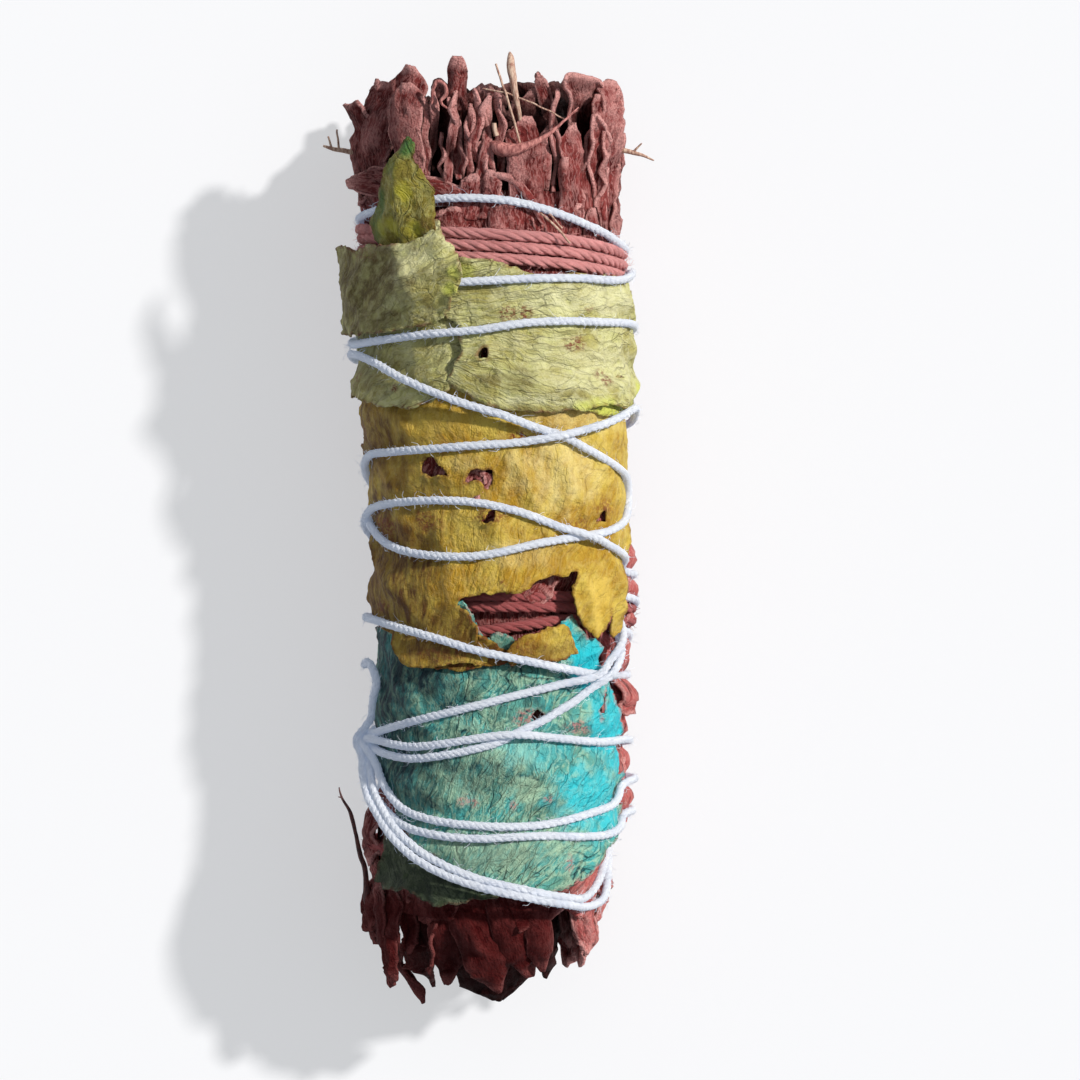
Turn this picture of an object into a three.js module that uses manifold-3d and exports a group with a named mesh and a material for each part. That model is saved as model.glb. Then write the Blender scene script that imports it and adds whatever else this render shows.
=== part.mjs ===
// A dried sage smudge stick, lying on its side. Eight leafy sage sprigs, dyed red, are packed
// side by side and bound by a red cord. Dyed rose petals, green, yellow and turquoise, lie over
// them, and a white cotton cord is wound over everything from end to end.
// Millimetres, +Z up, the stick's length along Y. The origin is the middle of the flat
// underside that the stick rests on.

import * as THREE from "three";
import Module from "manifold-3d";
import { mergeVertices } from "three/addons/utils/BufferGeometryUtils.js";

const wasm = await Module();
wasm.setup();

// Driving dimensions
const AXIS_HEIGHT = 14; // the stick's centre line above the surface
const UNDERSIDE_DEPTH = 11.2; // from the centre line down to the flattened side of the packed leaves
const SHEET_REFERENCE = 14.5; // radius at which a petal's width is measured
const WHITE_CORD = 1.0;
const RED_CORD = 1.15;
const PETAL_THICKNESS = 0.6;
const LEAF_THICKNESS = 0.8;
const CORE_DEPTH = 0.75; // how far the packed stems lie beneath the outermost leaves
const SPRIG_GAP = 0.3;
const GROOVE_CLEARANCE = 0.25; // between a cord and the leaves that it presses into
const FINEST_DETAIL = 0.04; // smaller steps in the leaves' faces are smoothed away

// Sprigs: one round the centre line, and seven round that one
const SPRIG_EDGES = [-206, -154, -100, -48, 3, 51, 104, 154]; // angles between the outer seven
const HEART_RADIUS = 5.7; // of the middle sprig
const SPRIG_REACH = 21; // radius that no leaf passes
const STEMS_TOP = 36; // ends of the packed stems, beyond which only leaves stand out
const STEMS_BOTTOM = -38.5;
const LEAVES_END = 60; // beyond the tip of every leaf
const RIDGE_DEPTH = 0.7; // of the lengthwise ridges of the packed stems

// Cords
const CORD_SIDES = 5;
const CORD_SPACING = 0.8; // length of a cord's steps before those on a line are left out
const WHITE_TOLERANCE = 0.27; // how far a left out point of the white cord may lie off the line
const RED_TOLERANCE = 0.3;
const CORD_REACH = 1.55; // a cord this far beside another stays on its bed
const CORD_RISE = 1.40; // from the middle of a cord to the middle of one that crosses over it
const OWN_STRETCH = 7; // length of cord that is too short to cross itself

// Radius of the packed leaves, and sideways place of the centre line, at places along the stick
const PACKED_RADIUS = [
  [-53, 10.6], [-48, 12.0], [-43, 13.0], [-37, 12.2], [-30, 12.0], [-19, 11.8], [-12, 11.7], [-6, 12.1],
  [2, 12.5], [10, 12.9], [18, 13.4], [24, 13.8], [31, 14.0], [38, 14.4], [45, 15.2], [52, 15.0],
];
const CENTRE_LINE = [
  [-50, -0.6], [-38, -0.3], [-28, 0.2], [-18, 0.2], [-10, 0.6], [2, 0.5], [12, 0.1], [24, -0.2],
  [32, -0.6], [42, -1.1], [50, -0.9],
];

// Heights above the packed leaves, measured outwards
const CORD_ON_LEAVES = 0.8;
const FIRST_LAYER = 1.95; // middle of a petal on the leaves
const SECOND_LAYER = 2.85; // middle of a petal that laps over another
const CORD_OVER_PETAL = 1.1; // from a petal's middle to the middle of the cord on it

const COLOURS = {
  sage: 0x7d3b38,
  redCord: 0xa34f52,
  whiteCord: 0xe8e9ee,
  greenPetal: 0x9aa45c,
  yellowPetal: 0xc9a32f,
  turquoisePetal: 0x2f9f98,
  darkPetal: 0x3b5a45,
};

const radians = THREE.MathUtils.degToRad;
const { clamp, smoothstep, lerp } = THREE.MathUtils;

// Seeded random numbers from 0 to 1
function seeded(seed) {
  let state = seed >>> 0;
  return () => {
    state = (Math.imul(state, 1664525) + 1013904223) >>> 0;
    return state / 4294967296;
  };
}

// The value at x of a smooth line through [x, value] stations
function through(stations, x) {
  let i = 1;
  while (i < stations.length - 1 && x > stations[i][0]) i += 1;
  const [a, b] = [stations[i - 1], stations[i]];
  const before = stations[i - 2] ?? a;
  const after = stations[i + 1] ?? b;
  const span = b[0] - a[0];
  const t = clamp((x - a[0]) / span, 0, 1);
  const leave = ((b[1] - before[1]) / (b[0] - before[0])) * span;
  const arrive = ((after[1] - a[1]) / (after[0] - a[0])) * span;
  const [t2, t3] = [t * t, t * t * t];
  return (
    a[1] * (2 * t3 - 3 * t2 + 1) + leave * (t3 - 2 * t2 + t) +
    b[1] * (3 * t2 - 2 * t3) + arrive * (t3 - t2)
  );
}

// Where no petal holds them in, the leaves bulge at the sides: [angle, half width in degrees,
// first and last place along the stick, height]
const BULGES = [
  [102, 26, -34, -1, 2.2],
  [-92, 40, -50, -29, 1.6],
];
const BULGE_SLOPE = 4; // length over which a bulge rises at each end
const UNDERSIDE_SHARPNESS = 12; // how tight the bend is from the round to the flat side

// Radius of the packed leaves at an angle round the stick, 0 being the top and 90 the +X side.
// The underside is pressed flat.
function packedRadius(angle, along) {
  const turned = THREE.MathUtils.euclideanModulo(angle + 180, 360) - 180;
  const bulge = BULGES.reduce((sum, [middle, half, low, high, height]) => {
    const side = 1 - smoothstep(Math.abs(turned - middle), half * 0.3, half);
    const start = smoothstep(along, low - BULGE_SLOPE, low + BULGE_SLOPE);
    const end = 1 - smoothstep(along, high - BULGE_SLOPE, high + BULGE_SLOPE);
    return sum + height * side * start * end;
  }, 0);
  const round = through(PACKED_RADIUS, along) + bulge;
  const down = -Math.cos(radians(turned));
  if (down <= 0.05) return round;
  const flat = UNDERSIDE_DEPTH / down;
  const power = -UNDERSIDE_SHARPNESS;
  return (round ** power + flat ** power) ** (1 / power);
}

function place(angle, along, radius) {
  const a = radians(angle);
  return new THREE.Vector3(
    through(CENTRE_LINE, along) + radius * Math.sin(a),
    along,
    AXIS_HEIGHT + radius * Math.cos(a),
  );
}

// A closed three.js geometry as a manifold solid, and back
function solidOf(geometry) {
  const bare = geometry.clone();
  bare.deleteAttribute("normal");
  bare.deleteAttribute("uv");
  const merged = mergeVertices(bare, 1e-4);
  return new wasm.Manifold(
    new wasm.Mesh({
      numProp: 3,
      vertProperties: new Float32Array(merged.attributes.position.array),
      triVerts: new Uint32Array(merged.index.array),
    }),
  );
}

function geometryOf(solid) {
  const { vertProperties, triVerts, numProp } = solid.getMesh();
  const positions = new Float32Array((vertProperties.length / numProp) * 3);
  for (let i = 0; i < positions.length / 3; i += 1) {
    for (let k = 0; k < 3; k += 1) positions[i * 3 + k] = vertProperties[i * numProp + k];
  }
  const geometry = new THREE.BufferGeometry();
  geometry.setAttribute("position", new THREE.BufferAttribute(positions, 3));
  geometry.setIndex(new THREE.BufferAttribute(new Uint32Array(triVerts), 1));
  geometry.computeVertexNormals();
  return geometry;
}

function largestBody(solid) {
  const bodies = solid.decompose();
  return bodies.reduce((best, body) => (body.volume() > best.volume() ? body : best));
}

// A closed sheet between two grids of points, [row][column], given as outer and inner faces
function sheetGeometry(outer, inner) {
  const rows = outer.length;
  const columns = outer[0].length;
  const positions = [...outer.flat(), ...inner.flat()].flatMap((p) => [p.x, p.y, p.z]);
  const offset = rows * columns;
  const at = (r, c) => r * columns + c;
  const index = [];
  for (let r = 0; r + 1 < rows; r += 1) {
    for (let c = 0; c + 1 < columns; c += 1) {
      const [p, q, s, t] = [at(r, c), at(r, c + 1), at(r + 1, c + 1), at(r + 1, c)];
      index.push(p, q, s, p, s, t);
      index.push(offset + p, offset + s, offset + q, offset + p, offset + t, offset + s);
    }
  }
  const rim = [];
  for (let c = 0; c + 1 < columns; c += 1) rim.push(at(0, c));
  for (let r = 0; r + 1 < rows; r += 1) rim.push(at(r, columns - 1));
  for (let c = columns - 1; c > 0; c -= 1) rim.push(at(rows - 1, c));
  for (let r = rows - 1; r > 0; r -= 1) rim.push(at(r, 0));
  rim.forEach((p, i) => {
    const q = rim[(i + 1) % rim.length];
    index.push(q, p, offset + p, q, offset + p, offset + q);
  });
  const geometry = new THREE.BufferGeometry();
  geometry.setAttribute("position", new THREE.Float32BufferAttribute(positions, 3));
  geometry.setIndex(index);
  return geometry;
}

// Cords

// The white cord's route: [angle, distance along]. Passes over the petals take turns with the
// way round the back. A turn that comes later lies over an earlier one.
const WHITE_ROUTE = [
  [-104, 35.0], [-66, 35.6], [-40, 36.3], [-22, 36.7], [-4, 36.7], [12, 36.3], [33, 35.0],
  [48, 33.9], [61, 33.0], [76, 32.0],
  [110, 31.2], [150, 30.2], [180, 29.4], [230, 28.2], [277, 27.4],
  [-40, 27.1], [-9, 27.4], [18, 27.8], [36, 27.9], [52, 27.8], [64, 28.1], [78, 28.9],
  [110, 28.4], [150, 26.2], [200, 23.6], [250, 21.8], [281, 20.9],
  [-54, 21.1], [-26, 21.7], [-6, 22.1], [10, 22.8], [26, 23.1], [46, 23.1], [69, 23.1],
  [100, 22.6], [150, 20.6], [200, 19.2], [250, 19.2], [281, 19.8],
  [-54, 18.6], [-39, 16.9], [-24, 15.2], [-11, 13.8], [1, 12.8], [14, 11.4], [27, 10.4], [42, 8.7],
  [58, 7.1], [70, 6.0],
  [78, 4.4], [78, 2.6], [70, 1.2], [60, 0.4],
  [51, -0.2], [36, -0.7], [17, -1.4], [0, -2.4], [-13, -2.9], [-32, -2.8], [-49, -2.2], [-63, -1.2],
  [-78, 0.3],
  [-110, 1.8], [-150, 4.4], [-180, 6.6], [-230, 10.0], [-270, 12.8],
  [68, 13.6], [47, 11.9], [31, 10.8], [9, 9.7], [-7, 9.4], [-29, 9.0], [-51, 8.7], [-73, 8.3],
  [-110, 4.6], [-140, 0.5], [-165, -2.8], [-200, -4.6], [-250, -5.2], [-279, -4.4],
  [73, -3.3], [59, -2.2], [42, -0.9], [26, 0.3], [8, 2.0], [-9, 3.0], [-27, 3.3], [-49, 3.1],
  [-70, 2.6], [-83, 2.0],
  [-95, -2.0], [-110, -6.5], [-125, -10.5], [-145, -13.2], [-180, -14.6], [-220, -15.6], [-276, -16.4],
  [62, -16.2], [44, -16.0], [27, -15.3], [8, -14.3], [-10, -13.3], [-29, -11.9], [-53, -10.6],
  [-69, -10.0],
  [-90, -9.8], [-130, -10.8], [-180, -12.4], [-230, -10.8], [-281, -7.6],
  [76, -9.4], [66, -11.7], [53, -14.4], [44, -16.1], [28, -17.1], [9, -18.2], [-8, -19.3],
  [-26, -20.4], [-48, -21.6], [-63, -22.3], [-83, -22.9],
  [-110, -22.2], [-150, -20.6], [-190, -18.2], [-230, -14.8], [-260, -12.4], [-281, -11.1],
  [68, -12.8], [56, -15.3], [45, -17.5], [36, -19.0], [28, -20.0], [21, -21.0], [9, -22.3],
  [1, -23.4], [-12, -24.3],
  [-26, -25.0], [-42, -25.4], [-59, -25.1], [-84, -24.4],
  [-110, -24.9], [-150, -25.2], [-190, -25.0], [-230, -24.4], [-277, -23.6],
  [50, -23.6], [28, -23.1], [7, -22.6], [-8, -23.0], [-26, -23.7], [-42, -24.1], [-58, -23.8],
  [-78, -23.4],
  [-95, -24.2], [-110, -26.1], [-150, -27.6], [-200, -28.2], [-276, -28.3],
  [64, -30.5], [46, -31.4], [30, -32.2], [16, -32.7], [-6, -32.7], [-29, -32.1], [-46, -31.0],
  [-58, -29.1], [-70, -26.4], [-80, -24.2],
  [-95, -22.9], [-110, -23.7], [-125, -27.0], [-145, -30.0], [-180, -31.4], [-230, -31.8],
  [-279, -31.9],
  [72, -32.8], [54, -33.9], [36, -34.0], [21, -33.8], [7, -33.9], [-6, -34.1], [-24, -33.8],
  [-42, -32.9], [-56, -31.4], [-73, -28.4], [-83, -26.6],
  [-95, -27.8], [-110, -30.4], [-125, -32.8], [-145, -34.4], [-180, -35.2], [-230, -35.4],
  [-276, -35.0],
  [77, -36.9], [62, -39.6], [49, -41.0], [31, -40.7], [12, -39.7], [-6, -38.5], [-20, -37.1],
  [-35, -35.1], [-47, -32.8], [-60, -30.1], [-72, -27.4], [-84, -25.4],
  [-96, -26.2], [-106, -29.0], [-118, -33.4], [-135, -36.6], [-180, -37.6], [-230, -37.6],
  [-272, -37.2],
  [78, -39.2], [68, -41.2], [50, -42.0], [31, -41.5], [12, -40.5], [-6, -39.3], [-20, -38.0],
  [-35, -36.0], [-48, -33.4], [-62, -30.4], [-76, -27.0],
  [-84, -23.4], [-84, -20.8], [-77, -18.4], [-69, -16.8], [-69, -15.4], [-77, -14.8], [-88, -15.2],
];

// The red cord's route, wound before the petals went on: three turns near the upper end, a
// long spiral down, three turns at the middle and a spiral to the lower end
const RED_ROUTE = [
  [-160, 34.2], [-90, 34.0], [-20, 33.0], [30, 32.3], [80, 31.2], [180, 32.0], [270, 33.0],
  [-20, 31.7], [30, 31.0], [80, 29.9], [180, 30.6], [270, 31.6],
  [-20, 30.4], [30, 29.6], [80, 28.6], [180, 27.4], [270, 23],
  [0, 17], [90, 9.5], [180, 3.4], [240, -3], [290, -6.2],
  [-30, -7.2], [0, -7.3], [40, -7.4], [90, -7.6], [180, -7.8], [270, -8.6],
  [-30, -8.5], [0, -8.5], [40, -8.6], [90, -8.8], [180, -9.6], [270, -11.4],
  [-30, -11.6], [0, -10.9], [40, -9.9], [90, -10.2], [180, -10.9], [270, -15],
  [0, -17.5], [90, -19], [180, -20.6], [270, -25], [0, -29], [90, -31.5], [180, -33.3],
  [270, -35.4], [340, -36.6],
];

// Where the petals end at each side, as an angle at places along the stick
const RIGHT_COVER = [
  [-43, 10], [-40, 34], [-36, 58], [-31, 80], [-26, 78], [-20, 66], [-15, 54], [-11, 60], [-5, 62],
  [1, 84],
  [8, 92], [20, 94], [26, 88], [31, 60], [36, 30],
];
const LEFT_COVER = [
  [-43, -20], [-40, -58], [-33, -58], [-29, -64], [-25, -88], [-20, -98], [-14, -88], [-8, -80],
  [-3, -76], [3, -100],
  [12, -98], [20, -99], [29, -97], [33, -66], [37, -50],
];

// Height of the middle of the uppermost petal, or of the leaves where no petal lies
const BARE = CORD_ON_LEAVES - CORD_OVER_PETAL;
const COVER_HEIGHT = [
  [-46, BARE], [-44, BARE], [-42.4, 1.2], [-41, 2.7], [-38, SECOND_LAYER], [-34.5, SECOND_LAYER],
  [-31, FIRST_LAYER],
  [-17.5, FIRST_LAYER], [-15.5, SECOND_LAYER], [-7.5, SECOND_LAYER], [-3, FIRST_LAYER],
  [10, FIRST_LAYER],
  [12, SECOND_LAYER], [17, SECOND_LAYER], [20, FIRST_LAYER + 0.1], [28.5, FIRST_LAYER], [32, 0.6],
  [34.5, BARE], [40, BARE],
];

// How much of the petals' height is left at an angle: all on the petals, none round the back
function coverShare(turned, along) {
  const right = through(RIGHT_COVER, along);
  const left = through(LEFT_COVER, along);
  return (1 - smoothstep(turned, right + 3, right + 24)) * (1 - smoothstep(-turned, 3 - left, 24 - left));
}

// Height of the white cord where nothing else of the cords lies beneath it
function whiteCordBed(angle, along) {
  const front = through(COVER_HEIGHT, along) + CORD_OVER_PETAL;
  const turned = THREE.MathUtils.euclideanModulo(angle + 180, 360) - 180;
  // The second pass starts beneath the left green petal, straight on the leaves.
  const tucked = Math.abs(along - 27.3) < 1.2 ? 1 - smoothstep(turned, -52, -30) : 0;
  return lerp(CORD_ON_LEAVES, front, coverShare(turned, along) * (1 - tucked));
}

// Height of each sample of a cord: its bed, raised wherever it crosses a cord laid earlier
function cordHeights(samples, bed, earlier) {
  const laid = [...earlier];
  samples.forEach((here) => {
    const base = bed(here.angle, here.along);
    let lift = 0;
    laid.forEach((there) => {
      const dAlong = here.along - there.along;
      if (Math.abs(dAlong) >= CORD_REACH) return;
      if (there.own && here.run - there.run < OWN_STRETCH) return;
      const turn = THREE.MathUtils.euclideanModulo(here.angle - there.angle + 180, 360) - 180;
      const apart = Math.hypot(radians(turn) * SHEET_REFERENCE, dAlong);
      if (apart >= CORD_REACH) return;
      const share = Math.cos((Math.PI / 2) * (apart / CORD_REACH)) ** 1.2;
      lift = Math.max(lift, (there.height + CORD_RISE - base) * share);
    });
    laid.push({ ...here, own: true, height: base + lift });
  });
  return laid.slice(earlier.length).map(({ height }) => height);
}

// Keeps only the points that a line within the tolerance needs
function thinned(points, tolerance) {
  const kept = [0, points.length - 1];
  const pending = [[0, points.length - 1]];
  const line = new THREE.Line3();
  const nearest = new THREE.Vector3();
  while (pending.length) {
    const [first, last] = pending.pop();
    line.set(points[first], points[last]);
    let worst = 0;
    let worstAt = -1;
    for (let i = first + 1; i < last; i += 1) {
      const gap = line.closestPointToPoint(points[i], true, nearest).distanceTo(points[i]);
      if (gap > worst) [worst, worstAt] = [gap, i];
    }
    if (worst > tolerance) {
      kept.push(worstAt);
      pending.push([first, worstAt], [worstAt, last]);
    }
  }
  return kept.sort((a, b) => a - b).map((i) => points[i]);
}

// A cord or stem: a round section swept along the points, each point one step
function tube(points, radius) {
  const path = new THREE.CatmullRomCurve3(points);
  path.getUtoTmapping = (u) => u;
  const section = new THREE.Shape(
    Array.from({ length: CORD_SIDES }, (_, i) => {
      const a = (2 * Math.PI * i) / CORD_SIDES;
      return new THREE.Vector2(radius * Math.cos(a), radius * Math.sin(a));
    }),
  );
  return new THREE.ExtrudeGeometry(section, {
    steps: points.length - 1,
    extrudePath: path,
    bevelEnabled: false,
  });
}

// Evenly spaced samples of a route of [angle, along] points. The angles run on from turn to turn.
function routeSamples(route) {
  let turn = 0;
  const flat = route.map(([angle, along], i) => {
    if (i > 0) turn -= 360 * Math.round((angle - route[i - 1][0]) / 360);
    return new THREE.Vector3(radians(angle + turn) * SHEET_REFERENCE, along, 0);
  });
  const curve = new THREE.CatmullRomCurve3(flat);
  curve.arcLengthDivisions = 4000;
  return curve.getSpacedPoints(Math.round(curve.getLength() / CORD_SPACING)).map((p, i) => ({
    angle: THREE.MathUtils.radToDeg(p.x / SHEET_REFERENCE),
    along: p.y,
    run: i * CORD_SPACING,
  }));
}

function redCordSamples() {
  return routeSamples(RED_ROUTE).map((sample) => ({ ...sample, height: CORD_ON_LEAVES }));
}

function whiteCordSamples(redSamples) {
  const samples = routeSamples(WHITE_ROUTE);
  const heights = cordHeights(samples, whiteCordBed, redSamples);
  return samples.map((sample, i) => ({ ...sample, height: heights[i] }));
}

// A cord's centre line, set out a little because straight steps run inside the curve
function cordLine(samples) {
  const setOut = 0.1;
  return samples.map(({ angle, along, height }) =>
    place(angle, along, packedRadius(angle, along) + height + setOut),
  );
}

const redSamples = redCordSamples();
const whiteLine = thinned(cordLine(whiteCordSamples(redSamples)), WHITE_TOLERANCE);
const redLine = thinned(cordLine(redSamples), RED_TOLERANCE);

const whiteCord = solidOf(tube(whiteLine, WHITE_CORD / 2));
const redCord = solidOf(tube(redLine, RED_CORD / 2));
const whiteGroove = solidOf(tube(whiteLine, WHITE_CORD / 2 + GROOVE_CLEARANCE));
const redGroove = solidOf(tube(redLine, RED_CORD / 2 + GROOVE_CLEARANCE));

// Petals. Outlines and holes are [angle, distance along]. The height of the petal's middle above
// the packed leaves says what it laps over.
const PETALS = [
  {
    name: "green_petal_left",
    colour: COLOURS.greenPetal,
    angleStep: 10,
    alongStep: 1.8,
    outline: [
      [-98, 22.2], [-97, 28.5], [-90, 31.4], [-78, 32.2], [-64, 31.4], [-51, 31.6], [-50, 33.6],
      [-51.5, 36.2],
      [-48, 38.6], [-41, 40.6], [-37, 42.2], [-34, 43.2], [-32.5, 42.0], [-29.5, 41.2], [-31, 40.2],
      [-28, 38.8],
      [-24, 36.6], [-22.5, 34.4], [-19.5, 32.2], [-16, 30.8], [-13, 29.3], [-12, 27.8], [-14, 26.4],
      [-17, 24.6],
      [-20, 23.4], [-24, 22.6], [-32, 22.4], [-44, 22.0], [-70, 21.8],
    ],
    holes: [],
    height: (angle, along) => {
      const overPetals = lerp(SECOND_LAYER, FIRST_LAYER, smoothstep(along, 31, 34));
      const overCord = smoothstep(angle, -50, -30) * (1 - smoothstep(Math.abs(along - 27.4), 1.2, 3.4));
      return overPetals + 1.25 * overCord;
    },
  },
  {
    name: "green_petal_right",
    colour: COLOURS.greenPetal,
    outline: [
      [-22, 29.2], [-14, 29.9], [-3, 30.0], [3, 29.4], [12, 28.7], [20, 28.2], [30, 28.3],
      [45, 28.2], [60, 28.4],
      [72, 27.6], [88, 25.2], [95, 21.5], [93, 17.6], [86, 15.0], [76, 13.6], [66, 13.2],
      [58, 13.6], [50, 14.0],
      [42, 13.7], [34, 13.2], [20, 12.9], [8, 13.1], [-2, 13.6], [-9, 14.4], [-15, 15.4],
      [-19.5, 16.3], [-15.5, 17.6],
      [-11.5, 19.2], [-8.6, 20.4], [-8.4, 22.0], [-10, 23.2], [-22, 24.2], [-24, 26.6],
    ],
    holes: [],
    height: (angle, along) => {
      const overYellow = 1 - smoothstep(along, 15.8, 18.8);
      const edge = lerp(-20, -9, (along - 16.2) / 4.2);
      const overLow = (1 - smoothstep(angle - edge, 5, 14)) * (1 - smoothstep(along, 18.4, 20.6));
      return lerp(FIRST_LAYER, SECOND_LAYER, Math.max(overYellow, overLow));
    },
  },
  {
    name: "green_petal_low",
    colour: COLOURS.greenPetal,
    outline: [
      [-98, 24.2], [-100, 19.9], [-102, 17.4], [-92, 15.6], [-76, 15.8], [-62, 15.1], [-48, 14.4],
      [-36, 14.2],
      [-28, 14.7], [-21, 15.6], [-17, 16.4], [-14.5, 17.6], [-13, 18.6], [-12.5, 20.4], [-12, 21.8],
      [-24, 22.4],
      [-27, 24.4], [-60, 24.6],
    ],
    holes: [],
    height: () => FIRST_LAYER,
  },
  {
    name: "yellow_petal",
    colour: COLOURS.yellowPetal,
    outline: [
      [-104, 14.6], [-92, 15.1], [-76, 15.3], [-62, 14.6], [-48, 13.9], [-36, 13.7], [-28, 14.2],
      [-22, 14.9],
      [-14, 15.6], [20, 15.2], [60, 15.2], [86, 14.2], [94, 10.5], [90, 5.5], [84, 0.5],
      [76, -2.5], [68, -3.6], [60, -5.0], [66, -6.4], [65, -8.0], [60, -9.4], [64, -11.0],
      [57, -12.0], [52.5, -10.6],
      [51, -9.0], [49, -10.6], [44, -12.0], [38, -11.2], [33, -9.6], [31, -7.6], [30, -6.2],
      [34, -4.6], [31, -4.4],
      [28, -5.2], [20, -5.0], [15, -5.4], [12, -6.4], [6, -7.0], [-3, -6.8], [-11, -7.2],
      [-18, -7.6], [-20, -8.4],
      [-15, -8.8], [-11, -10.4], [-10, -12.2], [-6, -13.4], [-4, -14.6], [-14, -14.8], [-28, -15.0],
      [-38, -15.4],
      [-45, -15.0], [-50, -13.6], [-53, -11.6], [-64, -10.6], [-76, -9.6], [-82, -7.4], [-79, -5.6],
      [-74, -4.6],
      [-76, -1.8], [-88, -0.8], [-98, 1.5], [-101, 6.0], [-99, 9.2], [-88, 10.2], [-80, 11.2],
      [-86, 12.2], [-99, 12.0],
    ],
    holes: [
      [[-35.5, 6.9], [-33, 8.0], [-29, 8.2], [-25, 7.2], [-22, 5.8], [-27, 6.2], [-31, 5.8]],
      [[-15.5, 5.3], [-12, 6.7], [-8, 6.4], [-3, 6.6], [-4, 5.2], [-5.5, 4.2], [-9, 5.4]],
      [[-9, 0.8], [-5, 2.2], [-2.5, 2.2], [-3, 1.2], [-6, 0.7]],
      [[45.5, 1.0], [48, 2.2], [50.5, 1.8], [52.5, 0.9], [49, 1.2]],
    ],
    height: (angle, along) => lerp(SECOND_LAYER, FIRST_LAYER, smoothstep(along, -6.6, -2.6)),
  },
  {
    name: "yellow_petal_scrap",
    colour: COLOURS.yellowPetal,
    outline: [
      [2, -13.6], [5, -12.2], [9, -11.6], [15, -11.6], [20, -10.8], [27, -10.4], [30, -11.4],
      [34, -13.4], [28, -14.2],
      [20, -14.8], [15, -15.0], [9, -14.4], [4, -15.2],
    ],
    holes: [],
    height: () => SECOND_LAYER,
  },
  {
    name: "turquoise_petal",
    colour: COLOURS.turquoisePetal,
    outline: [
      [-80, -10.8], [-60, -10.2], [-40, -8.6], [-24, -7.8], [-17, -7.9], [-13, -9.2], [-10, -11.2],
      [-7, -12.2],
      [-3, -11.4], [4, -11.6], [8, -12.8], [16, -13.4], [24, -12.4], [28, -10.0], [32, -9.2],
      [37, -11.0],
      [42, -12.2], [47, -12.0], [53, -13.4], [52, -15.6], [58, -17.4], [66, -19.4], [74, -21.4],
      [80, -22.6],
      [72, -23.9], [78, -25.4], [84, -27.8], [80, -30.6], [70, -32.8], [60, -34.6], [52, -36.4],
      [42, -38.2],
      [32, -39.6], [22, -40.2], [10, -39.7], [-2, -39.0], [-14, -37.8], [-28, -36.2], [-40, -34.0],
      [-48, -32.2],
      [-58, -30.0], [-70, -27.6], [-86, -25.4], [-97, -21.6], [-96, -16.8], [-88, -13.4],
    ],
    holes: [
      [[51, -19.8], [53, -17.4], [54.5, -18.2], [53, -21.2]],
      [[15, -20.6], [18, -19.7], [22, -20.2], [20, -21.2], [17, -21.1]],
    ],
    height: (angle, along) => lerp(SECOND_LAYER, FIRST_LAYER, smoothstep(along, -34.4, -31)),
  },
  {
    name: "dark_green_petal",
    colour: COLOURS.darkPetal,
    outline: [
      [-56, -33.0], [-58, -35.0], [-56, -36.8], [-60, -39.4], [-50, -40.0], [-41, -39.8],
      [-33, -40.8], [-25, -41.5],
      [-15, -41.4], [-8, -40.7], [2, -40.6], [6, -39.8], [-2, -38.2], [-16, -36.9], [-30, -35.6],
      [-44, -34.6],
    ],
    holes: [],
    height: () => FIRST_LAYER,
  },
];

const PETAL_ANGLE_STEP = 13;
const PETAL_ALONG_STEP = 5;

// Small waves across a petal, so that it isn't a smooth band
function petalWave(across, along) {
  return 0.07 * Math.sin(1.7 * across + 0.4 * along) * Math.cos(1.1 * along - 0.6 * across);
}

function petalSolid(petal) {
  const { outline, holes, height } = petal;
  const { angleStep = PETAL_ANGLE_STEP, alongStep = PETAL_ALONG_STEP } = petal;
  const toFlat = ([angle, along]) => new THREE.Vector2(radians(angle) * SHEET_REFERENCE, along);
  const angles = outline.map((p) => p[0]);
  const alongs = outline.map((p) => p[1]);
  const [left, right] = [Math.min(...angles) - 1, Math.max(...angles) + 1];
  const [low, high] = [Math.min(...alongs) - 0.5, Math.max(...alongs) + 0.5];
  const columns = Math.max(2, Math.ceil((right - left) / angleStep));
  const rows = Math.max(2, Math.ceil((high - low) / alongStep));
  const face = (side) =>
    Array.from({ length: rows + 1 }, (_, r) =>
      Array.from({ length: columns + 1 }, (_, c) => {
        const angle = lerp(left, right, c / columns);
        const along = lerp(low, high, r / rows);
        const across = radians(angle) * SHEET_REFERENCE;
        const middle = height(angle, along) + petalWave(across, along);
        return new THREE.Vector3(across, along, middle + (side * PETAL_THICKNESS) / 2);
      }),
    );
  const prism = (points) => {
    const shape = new THREE.Shape(points.map(toFlat));
    const geometry = new THREE.ExtrudeGeometry(shape, { depth: 8, bevelEnabled: false });
    return solidOf(geometry.translate(0, 0, -1));
  };
  const slab = solidOf(sheetGeometry(face(1), face(-1)));
  const cut = holes.reduce((sheet, hole) => sheet.subtract(prism(hole)), slab.intersect(prism(outline)));
  const flat = largestBody(cut);
  const geometry = geometryOf(flat);
  const position = geometry.getAttribute("position");
  for (let i = 0; i < position.count; i += 1) {
    const angle = THREE.MathUtils.radToDeg(position.getX(i) / SHEET_REFERENCE);
    const along = position.getY(i);
    const p = place(angle, along, packedRadius(angle, along) + position.getZ(i));
    position.setXYZ(i, p.x, p.y, p.z);
  }
  return solidOf(geometry);
}

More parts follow.
